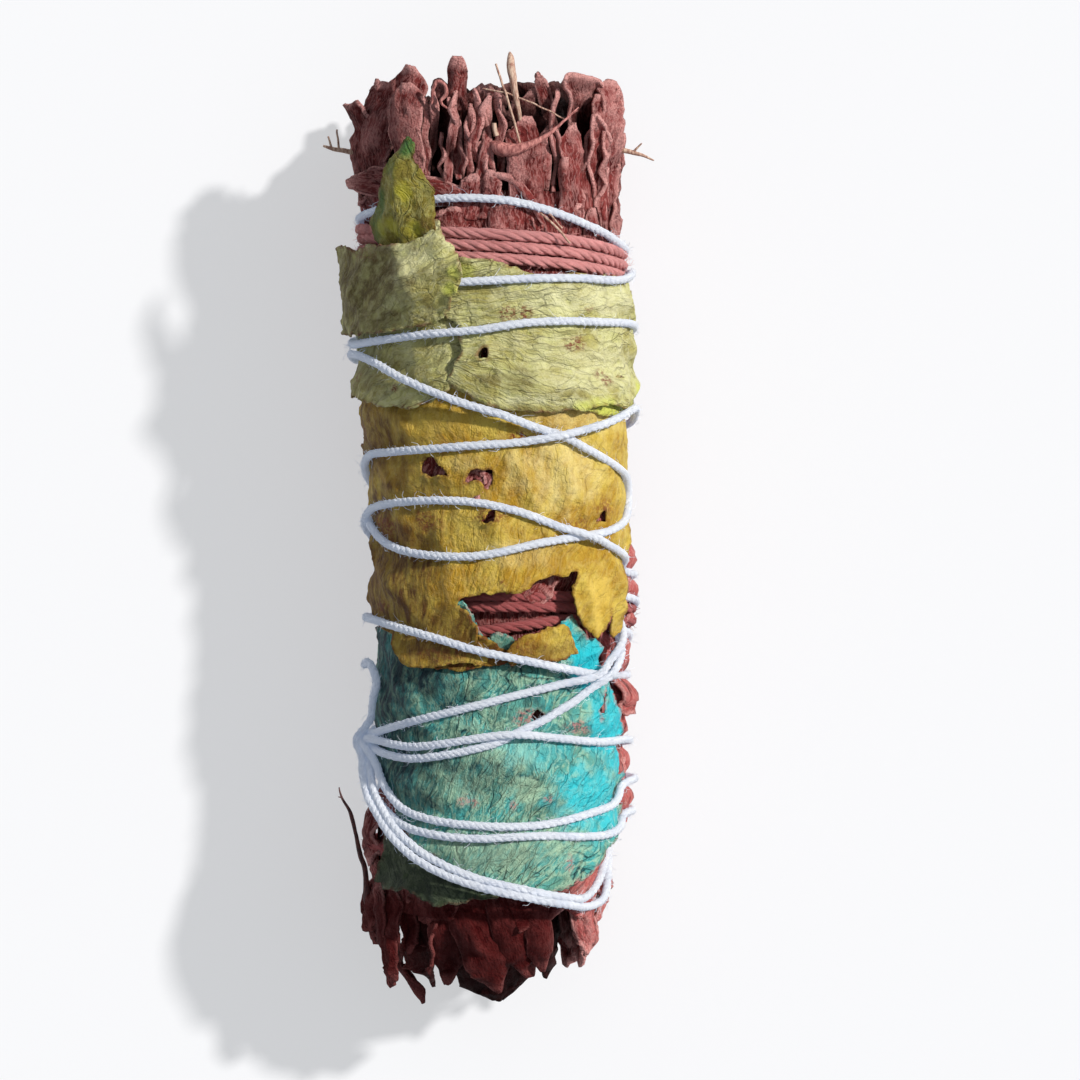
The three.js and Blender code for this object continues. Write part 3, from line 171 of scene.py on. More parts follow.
# Single leaves of both ends, and bits seen through the petals' holes: [how ragged the tip is,
# then stations of x, along, depth, half width, curl, lean]. Curl bends both edges inwards, and
# lean, in degrees, raises the +X edge. A leaf ends square where its raggedness is negative.
BOLD_LEAVES = [
    [0.3, [-14.4, 37, 0.9, 4.6, 0.4, -6], [-15, 42.2, 0.1, 4.9, 0.45, -6], [-14.6, 46, 0.1, 4.7, 0.5, -4],
     [-13.2, 50.6, 1, 3.4, 0.6, -4]],
    [0.4, [-11.6, 40, 2.2, 3.2, 0.5, 0], [-11, 46, 1.4, 3.3, 0.5, 0], [-9.9, 51.9, 1.4, 2.4, 0.8, -8]],
    [0.2, [-9.8, 38, 0.6, 2.3, 0.6, -10], [-10.2, 44, 0.1, 2.3, 0.7, -12],
     [-10.2, 49.8, 0.2, 2.1, 0.8, -12]],
    [0.8, [-2.4, 36.3, 0.4, 1.2, 0.5, 15], [-8, 37.8, 0, 1.7, 0.5, 15], [-13.5, 38.8, -0.3, 1.8, 0.6, 10],
     [-17.6, 39.4, -1.4, 0.7, 0.7, 0]],
    [0.8, [-14.5, 32.4, 0.5, 3.4, 0.5, 0], [-16, 38.5, -0.2, 2.4, 0.6, 0]],
    [0.1, [-4.4, 42, 3.4, 1.7, 1.6, -8], [-4.6, 47, 2.4, 1.8, 1.7, -8], [-4.5, 52.6, 1.6, 1.6, 1.7, -8]],
    [0.3, [-6.6, 41, 4.6, 2.4, 0.7, 20], [-6.8, 50.4, 3.4, 2.3, 0.8, 20]],
    [0.5, [-1.6, 42, 4.6, 2.6, 0.6, -10], [-1.4, 49.6, 3.6, 2.5, 0.7, -10]],
    [-0.5, [-2.4, 40, 6.2, 3, 0.4, 0], [-2.2, 50.1, 5, 3, 0.5, 0]],
    [-0.4, [2.2, 40, 6.6, 3.2, -0.4, 0], [2.4, 50.3, 5.4, 3.2, -0.5, 0]],
    [-0.5, [6.8, 40, 6.6, 3, 0.4, 0], [6.8, 50.5, 5.4, 3.2, 0.4, 0]],
    [0.6, [4, 41, 4.4, 2.8, 0.5, 0], [4.2, 49.6, 3.6, 2.8, 0.5, 0]],
    [0.1, [3.6, 36, 0.6, 2.5, 0.7, -8], [3.5, 41, 0.2, 2.6, 0.8, -8], [3.4, 45.9, 0.8, 2, 1.1, -8]],
    [0.4, [6.4, 44, 3.2, 0.9, 0.5, 30], [4.4, 50.9, 2.2, 0.7, 0.5, 30]],
    [-0.2, [9.2, 38, 4.2, 3.6, -0.5, 0], [9.2, 45, 3.4, 3.8, -0.6, 0], [9.2, 49, 2.2, 3.8, -0.5, 0],
     [9.3, 50.9, 0.2, 3.6, -0.2, 0]],
    [-0.1, [12.2, 36, 0.5, 2.5, 0.15, 0], [12.7, 44, 0.2, 2.5, 0.12, 0], [12.8, 50.6, 0, 2.2, 0.1, 0]],
    [0.1, [8.8, 35, 0.2, 1.9, 0.7, -6], [8.7, 40, -0.1, 2, 0.8, -6], [8.6, 45.3, 0.2, 1.5, 1.1, -6]],
    [0.1, [11, 37, 1.4, 1.9, -0.7, 0], [10.9, 43, 0.8, 1.9, -0.9, 0], [10.8, 46.3, -0.2, 1.6, -1.1, 0]],
    [0, [7.6, 35, 0, 0.75, 1.8, 0], [7.7, 41.4, -0.3, 0.8, 1.9, 0]],
    [0, [12.2, 32.5, 0.3, 0.8, 1.4, 0], [12, 37, -0.1, 0.9, 1.5, 0], [12.4, 40.6, 0, 0.8, 1.4, 0]],
    [0, [13.8, 32, 0.3, 0.8, 1.5, 0], [13.6, 41.2, -0.2, 0.8, 1.5, 0]],
    [0, [15.2, 32, 0.3, 1.1, 1.2, 0], [15, 42.4, -0.2, 1.1, 1.2, 0]],
    [0.3, [16, 31, 0.3, 2, 0.6, 0], [15.4, 40, 0, 2, 0.6, 0], [15, 45, 0, 2, 0.6, 0]],
    [0.3, [-0.9, 34.5, 0.2, 1.9, 0.6, 10], [-0.8, 39.9, 0.1, 1.1, 0.7, 10]],
    [0.5, [-3.6, 34.5, 0.2, 2.2, 0.6, -12], [-2.6, 39.6, 0.1, 1, 0.7, -12]],
    [0, [5.3, 34.2, 0, 0.5, 1.2, 0], [3.6, 36.9, -0.2, 0.55, 1.2, 0], [1.6, 38.9, -0.2, 0.55, 1.2, 0],
     [-0.2, 39.4, 0, 0.4, 1.2, 0]],
    [0.6, [-4.5, 31, 0.2, 3.4, 0.3, -10], [-4.5, 36, 0.1, 2.8, 0.4, -10]],
    [0.6, [1.8, 31.4, 0.2, 2.8, 0.3, 0], [1.8, 37, 0.1, 2.2, 0.5, 0]],
    [0.2, [8.6, 31, 0.2, 1, 1.1, 15], [9.1, 36.4, 0, 0.8, 1.2, 15]],
    [0.2, [10.4, 31, 0.2, 0.9, 1.1, 15], [10.6, 36, 0, 0.8, 1.2, 15]],
    [0.2, [12.2, 31, 0.2, 0.9, 1.1, 15], [12, 36.4, 0, 0.7, 1.2, 15]],
    [0.4, [6.6, 31, 0.2, 1.2, 0.9, 10], [6, 36, 0.1, 1, 1, 10]],
    [0.9, [-14.4, -28.6, -0.4, 3.5, 0.4, 0], [-15, -33, -1.1, 3.6, 0.5, 0],
     [-14.2, -38, -0.6, 2.8, 0.6, 0]],
    [0.1, [-12.2, -38, 1.2, 1.6, 1, 0], [-12, -45, 1.2, 1.6, 1, 0], [-11.8, -53.4, 2.8, 1.5, 1.1, 0]],
    [0.6, [-13.8, -36, 0.2, 1.8, 0.7, 0], [-13.6, -43, 0.2, 1.5, 0.8, 0], [-12.8, -48.9, 1.6, 1.1, 0.9, 0]],
    [1, [-7.5, -37, 0.6, 4.4, 0.2, 0], [-8, -41.5, 0.4, 4.3, 0.25, 0], [-8.2, -44.8, 1, 3.4, 0.3, 0]],
    [1, [-8.6, -40, 2, 3, -0.5, 10], [-8, -46, 2.4, 3.1, -0.6, 0], [-7.6, -51.9, 4.4, 2.6, -0.4, 0]],
    [0.9, [-9.8, -41, 1.2, 1.6, 0.9, -20], [-10, -47.8, 2.2, 1.3, 1, -20]],
    [0.7, [-5.4, -40, 1.2, 2.2, 0.8, 15], [-5.6, -46, 1.6, 2.1, 0.8, 15], [-5.6, -50.9, 3.4, 1.7, 1, 15]],
    [0.7, [-4.6, -38.6, 0.6, 3.2, 0.8, 0], [-2.2, -44.5, 0.9, 3.3, 0.85, 0], [0.4, -51.7, 3, 3, 1, 0]],
    [0.8, [0.2, -38.6, 0.4, 2.9, 0.8, 0], [2, -43.5, 0.6, 2.9, 0.9, 0], [3.8, -50.3, 2.8, 2.7, 1, 0]],
    [0.6, [-1.2, -42, 3, 4, 0.6, 0], [-0.8, -48, 4, 4.2, 0.7, 0], [0.2, -53, 6.4, 3.8, 0.8, 0]],
    [0.8, [3.8, -40, 0.3, 1.7, 0.9, -15], [4.6, -45, 0.2, 1.7, 1, -15], [5.2, -49.4, 1.6, 1.5, 1.2, -15]],
    [0.9, [5.4, -41, 3.4, 3.4, 0.5, 0], [5.6, -46, 4, 3.5, 0.6, 0], [6, -50.7, 5.4, 3.2, 0.6, 0]],
    [0.9, [9.2, -39.5, 0.4, 2.3, 0.3, -10], [10, -44, 0.3, 2, 0.3, -10], [10.8, -48.2, 1.6, 0.8, 0.3, -10]],
    [0.4, [7.6, -39, 1.6, 1.5, 1, 0], [8.2, -46.8, 2.6, 1.2, 1.1, 0]],
    [0.6, [12.4, -35, 0.3, 2.2, 0.5, 0], [12.2, -41, 0.5, 2.1, 0.6, 0], [11.8, -46.4, 2, 1.6, 0.7, 0]],
    [0.9, [6.8, -41.6, 0.1, 3, 0.15, 0], [10.3, -37, -0.3, 3.4, 0.2, 0], [13.2, -31, 0, 1.9, 0.3, 0]],
    [0.9, [1.6, -42.4, 0.2, 2.4, 0.2, 0], [5.8, -40.6, 0, 2.4, 0.25, 0], [9.4, -39.6, 0.1, 1.5, 0.3, 0]],
    [1, [-8.2, 4.6, -1.5, 1.9, 0.3, -10], [-6.6, 9.4, -1.5, 1.9, 0.3, -10]],
    [1, [-3.4, 3.2, -1.6, 1.6, -0.3, 10], [-1.4, 7.8, -1.5, 1.8, -0.3, 10]],
    [1, [-3, -0.6, -1.5, 1.4, 0.4, 0], [-0.4, 3.4, -1.6, 1.3, 0.4, 0]],
    [1, [12.2, -0.6, -1.2, 1.3, 0.4, 0], [11.4, 3.4, -1.3, 1.3, 0.4, 0]],
    [1, [3.4, -7.8, -0.8, 1.7, 0.4, -8], [6.6, -3.6, -0.9, 1.7, 0.4, -8]],
]

# Where the underside swells down to the surface that the stick rests on: along, half length
RESTING_PLACES = [[22.2, 3.4], [13.2, 9.6], [-0.2, 5.2], [-23, 3.4]]


# Measures and noise


def between(a, b, t):
    return a + (b - a) * t


def eased(x, low, high):
    """0 below low, 1 above high and a smooth rise between them."""
    t = np.clip((np.asarray(x, float) - low) / (high - low), 0, 1)
    return t * t * (3 - 2 * t)


def bell(distance, width):
    """1 at no distance, and falling away smoothly."""
    return np.exp(-((distance / width) ** 2))


def bowed(t, start, leave, end, arrive):
    """A smooth way from start to end with the given slopes at both."""
    return (
        start * (2 * t**3 - 3 * t**2 + 1) + leave * (t**3 - 2 * t**2 + t)
        + end * (3 * t**2 - 2 * t**3) + arrive * (t**3 - t**2)
    )


def through(stations, x):
    """The value at x of a smooth line through [x, value] stations."""
    at, value = np.array(stations, float).T
    x = np.asarray(x, float)
    i = np.clip(np.searchsorted(at, x), 1, len(at) - 1)
    before, after = np.maximum(i - 2, 0), np.minimum(i + 1, len(at) - 1)
    span = at[i] - at[i - 1]
    t = np.clip((x - at[i - 1]) / span, 0, 1)
    leave = (value[i] - value[before]) / (at[i] - at[before]) * span
    arrive = (value[after] - value[i - 1]) / (at[after] - at[i - 1]) * span
    return bowed(t, value[i - 1], leave, value[i], arrive)


def front_angle(angle):
    """The same angle between -180 and 180."""
    return (np.asarray(angle, float) + 180) % 360 - 180


def on_sheet(angle, along):
    return np.stack([np.radians(angle) * SHEET_RADIUS, along], -1)


def packed_radius(angle, along):
    """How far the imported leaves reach: round, but for the swells and the flat underside."""
    turn = front_angle(angle)
    radius = through(PACKED_RADIUS, along)
    for middle, half, low, high, height in BULGES:
        side = 1 - eased(abs(turn - middle), half * 0.3, half)
        from_low, to_high = eased(along, low - 4, low + 4), 1 - eased(along, high - 4, high + 4)
        radius = radius + height * side * from_low * to_high
    down = -np.cos(np.radians(turn))
    flat = UNDERSIDE_DEPTH / np.maximum(down, 0.05)
    return np.where(down > 0.05, (radius**-12.0 + flat**-12.0) ** (-1 / 12), radius)


def place(angle, along, radius):
    """Points in millimetres."""
    a = np.radians(angle)
    x = through(CENTRE_LINE, along) + radius * np.sin(a)
    return np.stack(np.broadcast_arrays(x, along, AXIS_HEIGHT + radius * np.cos(a)), -1)


def lattice(ix, iy, seed):
    """A repeatable number from 0 to 1 for each pair of whole numbers."""
    n = (ix.astype(np.int64) * 374761393 + iy.astype(np.int64) * 668265263 + seed * 974711) & 0xFFFFFFFF
    n = ((n ^ (n >> 13)) * 1274126177) & 0xFFFFFFFF
    return ((n ^ (n >> 16)) & 0xFFFFFF) / 0xFFFFFF


def grain(x, y, seed):
    """Smooth noise from -1 to 1."""
    x, y = np.broadcast_arrays(np.asarray(x, float), np.asarray(y, float))
    ix, iy = np.floor(x), np.floor(y)
    u, v = (t * t * t * (t * (t * 6 - 15) + 10) for t in (x - ix, y - iy))
    low = between(lattice(ix, iy, seed), lattice(ix + 1, iy, seed), u)
    high = between(lattice(ix, iy + 1, seed), lattice(ix + 1, iy + 1, seed), u)
    return 2 * between(low, high, v) - 1


def layered(x, y, seed, octaves=4):
    """Noise with finer noise on it, from about -1 to 1."""
    return sum(grain(x * 2.03**k, y * 2.03**k, seed + 17 * k) * 0.5**k for k in range(octaves)) / 1.6


def creased(x, y, seed, octaves=3):
    """Noise with sharp ridges, from 0 to 1."""
    ridges = ((1 - abs(grain(x * 1.9**k, y * 1.9**k, seed + 31 * k))) ** 2 * 0.5**k for k in range(octaves))
    return sum(ridges) / 1.75


# Cords


def smooth_line(points, spacing):
    """Evenly spaced samples of a smooth line through the points, and the distance run at each."""
    p = np.array(points, float)
    p = np.vstack([2 * p[0] - p[1], p, 2 * p[-1] - p[-2]])
    dense = []
    t = np.linspace(0, 1, 40, endpoint=False)[:, None]
    for a, b, c, d in zip(p, p[1:], p[2:], p[3:]):
        ka, kb, kc = (np.linalg.norm(q - r) ** 0.5 for q, r in ((b, a), (c, b), (d, c)))
        leave = ((b - a) / ka - (c - a) / (ka + kb) + (c - b) / kb) * kb
        arrive = ((c - b) / kb - (d - b) / (kb + kc) + (d - c) / kc) * kb
        dense.append(bowed(t, b, leave, c, arrive))
    dense = np.vstack(dense + [p[-2:-1]])
    length = np.r_[0, np.cumsum(np.linalg.norm(np.diff(dense, axis=0), axis=1))]
    run = np.linspace(0, length[-1], int(round(length[-1] / spacing)) + 1)
    return np.stack([np.interp(run, length, column) for column in dense.T], 1), run


def route_samples(route, spacing=0.8):
    """Angle, along and distance run of evenly spaced places on a route wound round the stick."""
    angles, alongs = np.array(route, float).T
    line, run = smooth_line(on_sheet(np.degrees(np.unwrap(np.radians(angles))), alongs), spacing)
    return np.degrees(line[:, 0] / SHEET_RADIUS), line[:, 1], run


def unwound(route, spacing=0.5):
    """A route's samples as places on the sheet."""
    angle, along, _ = route_samples(route, spacing)
    return on_sheet(front_angle(angle), along)


def cover_share(turn, along):
    """How much of the petals' height is left: all on them, none round the back."""
    right, left = through(RIGHT_COVER, along), through(LEFT_COVER, along)
    return (1 - eased(turn, right + 3, right + 24)) * (1 - eased(-turn, 3 - left, 24 - left))


def settled(turn):
    """How much of their height the petals keep as they bend down the +X side."""
    return 1 - 0.5 * eased(turn, 56, 92)


def in_tucked_turn(along):
    return abs(along - TUCKED_TURN) < TUCKED_REACH


def white_cord_bed(angle, along, on_petal, on_leaves):
    """Height of what the white cord lies on, with the cord's own distance from it."""
    turn = front_angle(angle)
    front = through(COVER_HEIGHT, along) * settled(turn) + on_petal
    tucked = np.where(in_tucked_turn(along), 1 - eased(turn, -52, -30), 0)
    return between(on_leaves, front, cover_share(turn, along) * (1 - tucked))


def raised_at_crossings(angle, along, run, bed, earlier, rise):
    """Height of each sample: its bed, raised wherever it crosses a cord laid earlier."""
    reach, own_stretch = 1.45, 7
    laid_angle, laid_along, laid_height = (np.r_[column, np.zeros(len(bed))] for column in earlier)
    first = len(earlier[0])
    own = int(np.ceil(own_stretch / (run[1] - run[0])))
    for i, base in enumerate(bed):
        n = first + max(0, i - own)
        turn = front_angle(angle[i] - laid_angle[:n])
        apart = np.hypot(np.radians(turn) * SHEET_RADIUS, along[i] - laid_along[:n])
        near = apart < reach
        lift = 0
        if near.any():
            share = np.cos(np.pi / 2 * apart[near] / reach) ** 1.2
            lift = max(0, ((laid_height[:n][near] + rise - base) * share).max())
            lift *= 1 - 0.45 * float(eased(front_angle(angle[i]), 62, 84))
        laid_angle[first + i], laid_along[first + i], laid_height[first + i] = angle[i], along[i], base + lift
    return np.convolve(np.pad(laid_height[first:], 1, "edge"), [0.25, 0.5, 0.25], "valid")


def nearest(points, others):
    """Distance from each point to the nearest of the others."""
    found = np.empty(len(points))
    for start in range(0, len(points), 2000):
        part = slice(start, start + 2000)
        found[part] = ((points[part][:, None, :] - others[None]) ** 2).sum(-1).min(1)
    return np.sqrt(found)


# Meshes


def points_of(mesh):
    flat = np.empty(len(mesh.vertices) * 3, np.float32)
    mesh.vertices.foreach_get("co", flat)
    return flat.reshape(-1, 3).astype(float)


def move_points(mesh, points):
    mesh.vertices.foreach_set("co", np.asarray(points, np.float32).ravel())
    mesh.update()


def write_down(mesh, **values):
    """Keeps values of each point for the materials: a number, or three of them."""
    for name, value in values.items():
        value = np.asarray(value, np.float32)
        kind, field = ("FLOAT", "value") if value.ndim == 1 else ("FLOAT_VECTOR", "vector")
        mesh.attributes.new(name, kind, "POINT").data.foreach_set(field, value.ravel())


def only(*objects):
    """Selects these objects and nothing else."""
    bpy.ops.object.select_all(action="DESELECT")
    for obj in objects:
        obj.select_set(True)
    bpy.context.view_layer.objects.active = objects[0]


def linked(name, data):
    obj = bpy.data.objects.new(name, data)
    bpy.context.collection.objects.link(obj)
    return obj


def apply_modifier(obj, kind, **settings):
    only(obj)
    modifier = obj.modifiers.new(kind.title(), kind)
    for name, value in settings.items():
        setattr(modifier, name, value)
    bpy.ops.object.modifier_apply(modifier=modifier.name)


def finish_piece(obj, name, material, slot, *nodes):
    """Names the piece, smooths and paints it, hangs it from the root body and hides the solids it stands for.
    """
    obj.name = name
    obj.data.name = name
    only(obj)
    bpy.ops.object.shade_smooth()
    obj.data.materials.clear()
    obj.data.materials.append(material)
    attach(obj, "root")
    if nodes:
        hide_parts(*nodes)


def flat_grid(columns, rows):
    """A grid of faces, and its points as shares of its width and length."""
    bpy.ops.object.select_all(action="DESELECT")
    bpy.ops.mesh.primitive_grid_add(x_subdivisions=columns, y_subdivisions=rows, size=1, calc_uvs=False)
    obj = bpy.context.object
    p = points_of(obj.data)
    return obj, p[:, 0] + 0.5, p[:, 1] + 0.5


def delete_faces(obj, faces):
    """Deletes the marked faces and what only they held."""
    mesh = obj.data
    mesh.vertices.foreach_set("select", np.zeros(len(mesh.vertices), bool))
    mesh.edges.foreach_set("select", np.zeros(len(mesh.edges), bool))
    mesh.polygons.foreach_set("select", faces)
    only(obj)
    bpy.context.tool_settings.mesh_select_mode = (False, False, True)
    bpy.ops.object.mode_set(mode="EDIT")
    bpy.ops.mesh.delete(type="FACE")
    bpy.ops.object.mode_set(mode="OBJECT")


def numbers_of(items, field, width=1):
    """Whole numbers of a mesh's loops or edges."""
    values = np.empty(len(items) * width, np.int32)
    items.foreach_get(field, values)
    return values.reshape(-1, width)


def rim_points(mesh):
    """Which points lie on an open edge."""
    single = np.bincount(numbers_of(mesh.loops, "edge_index").ravel(), minlength=len(mesh.edges)) == 1
    rim = np.zeros(len(mesh.vertices), bool)
    rim[numbers_of(mesh.edges, "vertices", 2)[single].ravel()] = True
    return rim


# Torn petals


def to_outline(s, y, outline):
    """Distance in millimetres to a closed outline of [angle, along], negative inside it."""
    corners = np.array(outline, float) * [PER_DEGREE, 1]
    near = np.full(s.shape, np.inf)
    inside = np.zeros(s.shape, bool)
    for (ax, ay), (bx, by) in zip(corners, np.roll(corners, -1, 0)):
        dx, dy = bx - ax, by - ay
        t = np.clip(((s - ax) * dx + (y - ay) * dy) / (dx * dx + dy * dy), 0, 1)
        near = np.minimum(near, (s - ax - t * dx) ** 2 + (y - ay - t * dy) ** 2)
        if dy:
            inside ^= ((ay > y) != (by > y)) & (s < dx * (y - ay) / dy + ax)
    return np.where(inside, -1, 1) * np.sqrt(near)


def to_tear(s, y, petal):
    """Distance to a petal's torn edge and to its holes, negative in the petal."""
    seed = petal["seed"]
    bend_s, bend_y = (
        base + 0.35 * layered(s * 0.9, y * 0.9, seed + k) + 0.12 * layered(s * 3.7, y * 3.7, seed + fine)
        for base, k, fine in ((s, 0, 3), (y, 5, 7))
    )
    far = to_outline(bend_s, bend_y, petal["outline"])
    for hole in petal.get("holes", ()):
        far = np.maximum(far, -to_outline(bend_s, bend_y, hole))
    return far


def from_spot(angle, along, spot):
    """Distance to the middle of an oval [angle, along, half angle, half length], where 1 is its rim."""
    return np.hypot((angle - spot[0]) / spot[2], (along - spot[1]) / spot[3])


def stain_and_light_map(s, y, spots, seed):
    """How strongly each point is marked: spots are ovals with a strength. The marks are stains, painted shade
    and painted highlights.
    """
    total = np.zeros(s.shape)
    wobble = 0.45 * layered(s * 0.8, y * 0.8, seed + 11)
    for *spot, strength in spots:
        far = from_spot(np.degrees(s / SHEET_RADIUS), y, spot) + wobble
        total = np.maximum(total, strength * (1 - eased(far, 0.45, 1.15)))
    return total


def ridge(flat, angle, along, to_angle, to_along, width, rise):
    """Height of a sharp fold that runs between two places and falls away to each side."""
    start = on_sheet(angle, along)
    way = on_sheet(to_angle, to_along) - start
    t = np.clip((flat - start) @ way / (way @ way), 0, 1)
    bend = 0.35 * width * grain(t * 3 + angle, along + 0 * t, 3)[:, None] * [1, 0.4]
    apart = np.linalg.norm(flat - start - t[:, None] * way - bend, axis=1)
    return rise * np.maximum(0, 1 - apart / width) * np.sin(np.pi * np.clip(0.12 + 0.76 * t, 0, 1))


def cut_petal(petal, cell):
    """A flat grid cut to the petal's torn outline, with its rim drawn on to the tear."""
    corners, margin = np.array(petal["outline"], float), 0.8
    low = corners.min(0) * [PER_DEGREE, 1] - margin
    size = corners.max(0) * [PER_DEGREE, 1] + margin - low
    obj, u, v = flat_grid(*(int(np.ceil(length / cell)) for length in size))
    mesh = obj.data
    s, y = low[0] + u * size[0], low[1] + v * size[1]
    move_points(mesh, np.stack([s, y, s * 0], 1))
    corner = numbers_of(mesh.loops, "vertex_index").ravel()
    delete_faces(obj, to_tear(s, y, petal)[corner].reshape(-1, 4).mean(1) > 0)
    s, y, _ = points_of(mesh).T
    rim = rim_points(mesh)
    step = 0.05
    for _ in range(2):
        here = to_tear(s[rim], y[rim], petal)
        slope_s = (to_tear(s[rim] + step, y[rim], petal) - here) / step
        slope_y = (to_tear(s[rim], y[rim] + step, petal) - here) / step
        pull = np.clip(here / np.maximum(slope_s**2 + slope_y**2, 0.3), -0.6 * cell, 0.6 * cell)
        s[rim] -= pull * slope_s
        y[rim] -= pull * slope_y
    return obj, s, y


def torn_petal(petal, cords, sizes):
    """A torn petal, crinkled, wrapped round the stick and given its thickness."""
    obj, s, y = cut_petal(petal, sizes.petal_cell / MM)
    edge = np.maximum(0, -to_tear(s, y, petal))
    seed = petal["seed"]
    angle = np.degrees(s / SHEET_RADIUS)
    flat = np.stack([s, y], 1)
    waves = 0.24 * layered(s * 0.17, y * 0.24, seed)
    base_s, base_y = petal["base"]
    reach = np.hypot(s - base_s, y - base_y)
    fan = np.arctan2(y - base_y, s - base_s) * reach.mean()
    fan = fan + 0.9 * layered(s * 0.25, y * 0.25, seed + 2)
    uneven = 0.4 + 0.6 * eased(layered(s * 0.14, y * 0.14, seed + 8), -0.2, 0.3)
    wrinkles = petal.get("pleats", 0.12) * creased(fan * 0.34, reach * 0.05, seed + 1) * uneven
    crumple = creased(s * 0.3 + 0.4 * layered(s * 0.2, y * 0.2, seed + 5), y * 0.34, seed + 4)
    fine = petal.get("crumpled", 0.34) * (crumple - 0.4) + 0.05 * layered(s * 1.3, y * 1.3, seed + 6, 3)
    to_cord = nearest(flat, cords)
    dip = sizes.cord_dip / MM * bell(to_cord, 1.0) + 0.6 * sizes.cord_dip / MM * bell(to_cord, 2.6)
    lift = np.clip(layered(s * 0.35, y * 0.35, seed + 9) + petal.get("curl", 0.25), 0, 1)
    curl = 0.75 * lift * np.exp(-edge / 0.7) * petal.get("curled", 1)
    height = petal["height"](angle, y) * settled(angle) + 0.45 + waves + wrinkles + fine - dip + curl
    for *spot, rise in petal.get("humps", ()):
        height += rise * (1 - eased(from_spot(angle, y, spot), 0, 1))
    for fold in petal.get("folds", ()):
        height += ridge(flat, *fold)
    # Maps of stains, of painted shade (shade) and of painted highlight that is partly bleached cream (pale)
    stain_and_light_maps = {kind: stain_and_light_map(s, y, petal.get(kind, ()), seed + k) for k, kind in enumerate(STAINS_AND_PAINTED_LIGHT)}
    write_down(
        obj.data, sheet=np.stack([s, y, height], 1), fan=np.stack([fan, reach, height], 1),
        edge=edge, raised=waves + wrinkles + fine, **stain_and_light_maps,
    )
    move_points(obj.data, place(angle, y, packed_radius(angle, y) + height) * MM)
    apply_modifier(obj, "SOLIDIFY", thickness=sizes.petal_thickness, offset=-1, use_even_offset=False)
    return obj


# Sage leaves


def crumple_of(where, across, seed, size):
    """How far a dried leaf's surface stands out, in millimetres."""
    soft = 0.5 * layered(where * 0.27, across * 0.36 + seed, seed, 3)
    bent = across * 0.38 + 0.9 * grain(where * 0.25, across * 0.2, seed + 5)
    folded = creased(bent, where * 0.24 + seed, seed + 6)
    return size * (soft + 0.95 * (folded - 0.42))


def torn_back(across, seed):
    """How far a leaf's tip is torn back at each place across it."""
    still = 0 * across
    broad = 0.9 * (1 + grain(across * 1.1 + seed * 3.7, still, seed))
    fine = 0.4 * (1 + grain(across * 4.3 + seed * 1.9, still, seed + 1))
    return broad + fine + 0.7 * across**4


def dye_and_shade_depth(points, seed):
    """How dark the leaves are painted: darkest at the lower left end and darker at the upper left, which is
    painted shade, and uneven from leaf to leaf, which is the dye.
    """
    x, along = points[:, 0], points[:, 1]
    low = eased(-along, 37, 43) * (1 - eased(x, 5, 10))
    left = 0.2 * eased(-x, 3, 14) * eased(along, 30, 38)
    uneven = float(lattice(np.array([seed]), np.array([0]), 4)[0])
    return np.clip(0.9 * low + left + 0.35 * uneven * (1 - low), 0, 1)


def right_side_light(points):
    """Where painted light brightens the dye: down the right side, between the petals and the lower end."""
    x, along = points[:, 0], points[:, 1]
    side = eased(x + 2.5 * eased(-along, 36, 40), 9, 12.5)
    return side * (1 - eased(along, 0, 6))


def dress_leaf(obj, points, seed, leaf, deep, rim, raised):
    """Moves the leaf's points and writes down what its colour depends on: its dye, and its painted shade
    and highlights. leaf is [across, length, shift].
    """
    move_points(obj.data, points * MM)
    leaf = np.stack(np.broadcast_arrays(*leaf), 1)
    tone, lively = dye_and_shade_depth(points, seed), right_side_light(points)
    write_down(obj.data, leaf=leaf, deep=deep, rim=rim, raised=raised, tone=tone, lively=lively)


def lit_end(along):
    """How much of the painted shade of deep leaves stays: less near the ends of the stick, which are lit
    although others stand over them.
    """
    return 1 - 0.5 * eased(abs(along), 44, 50)


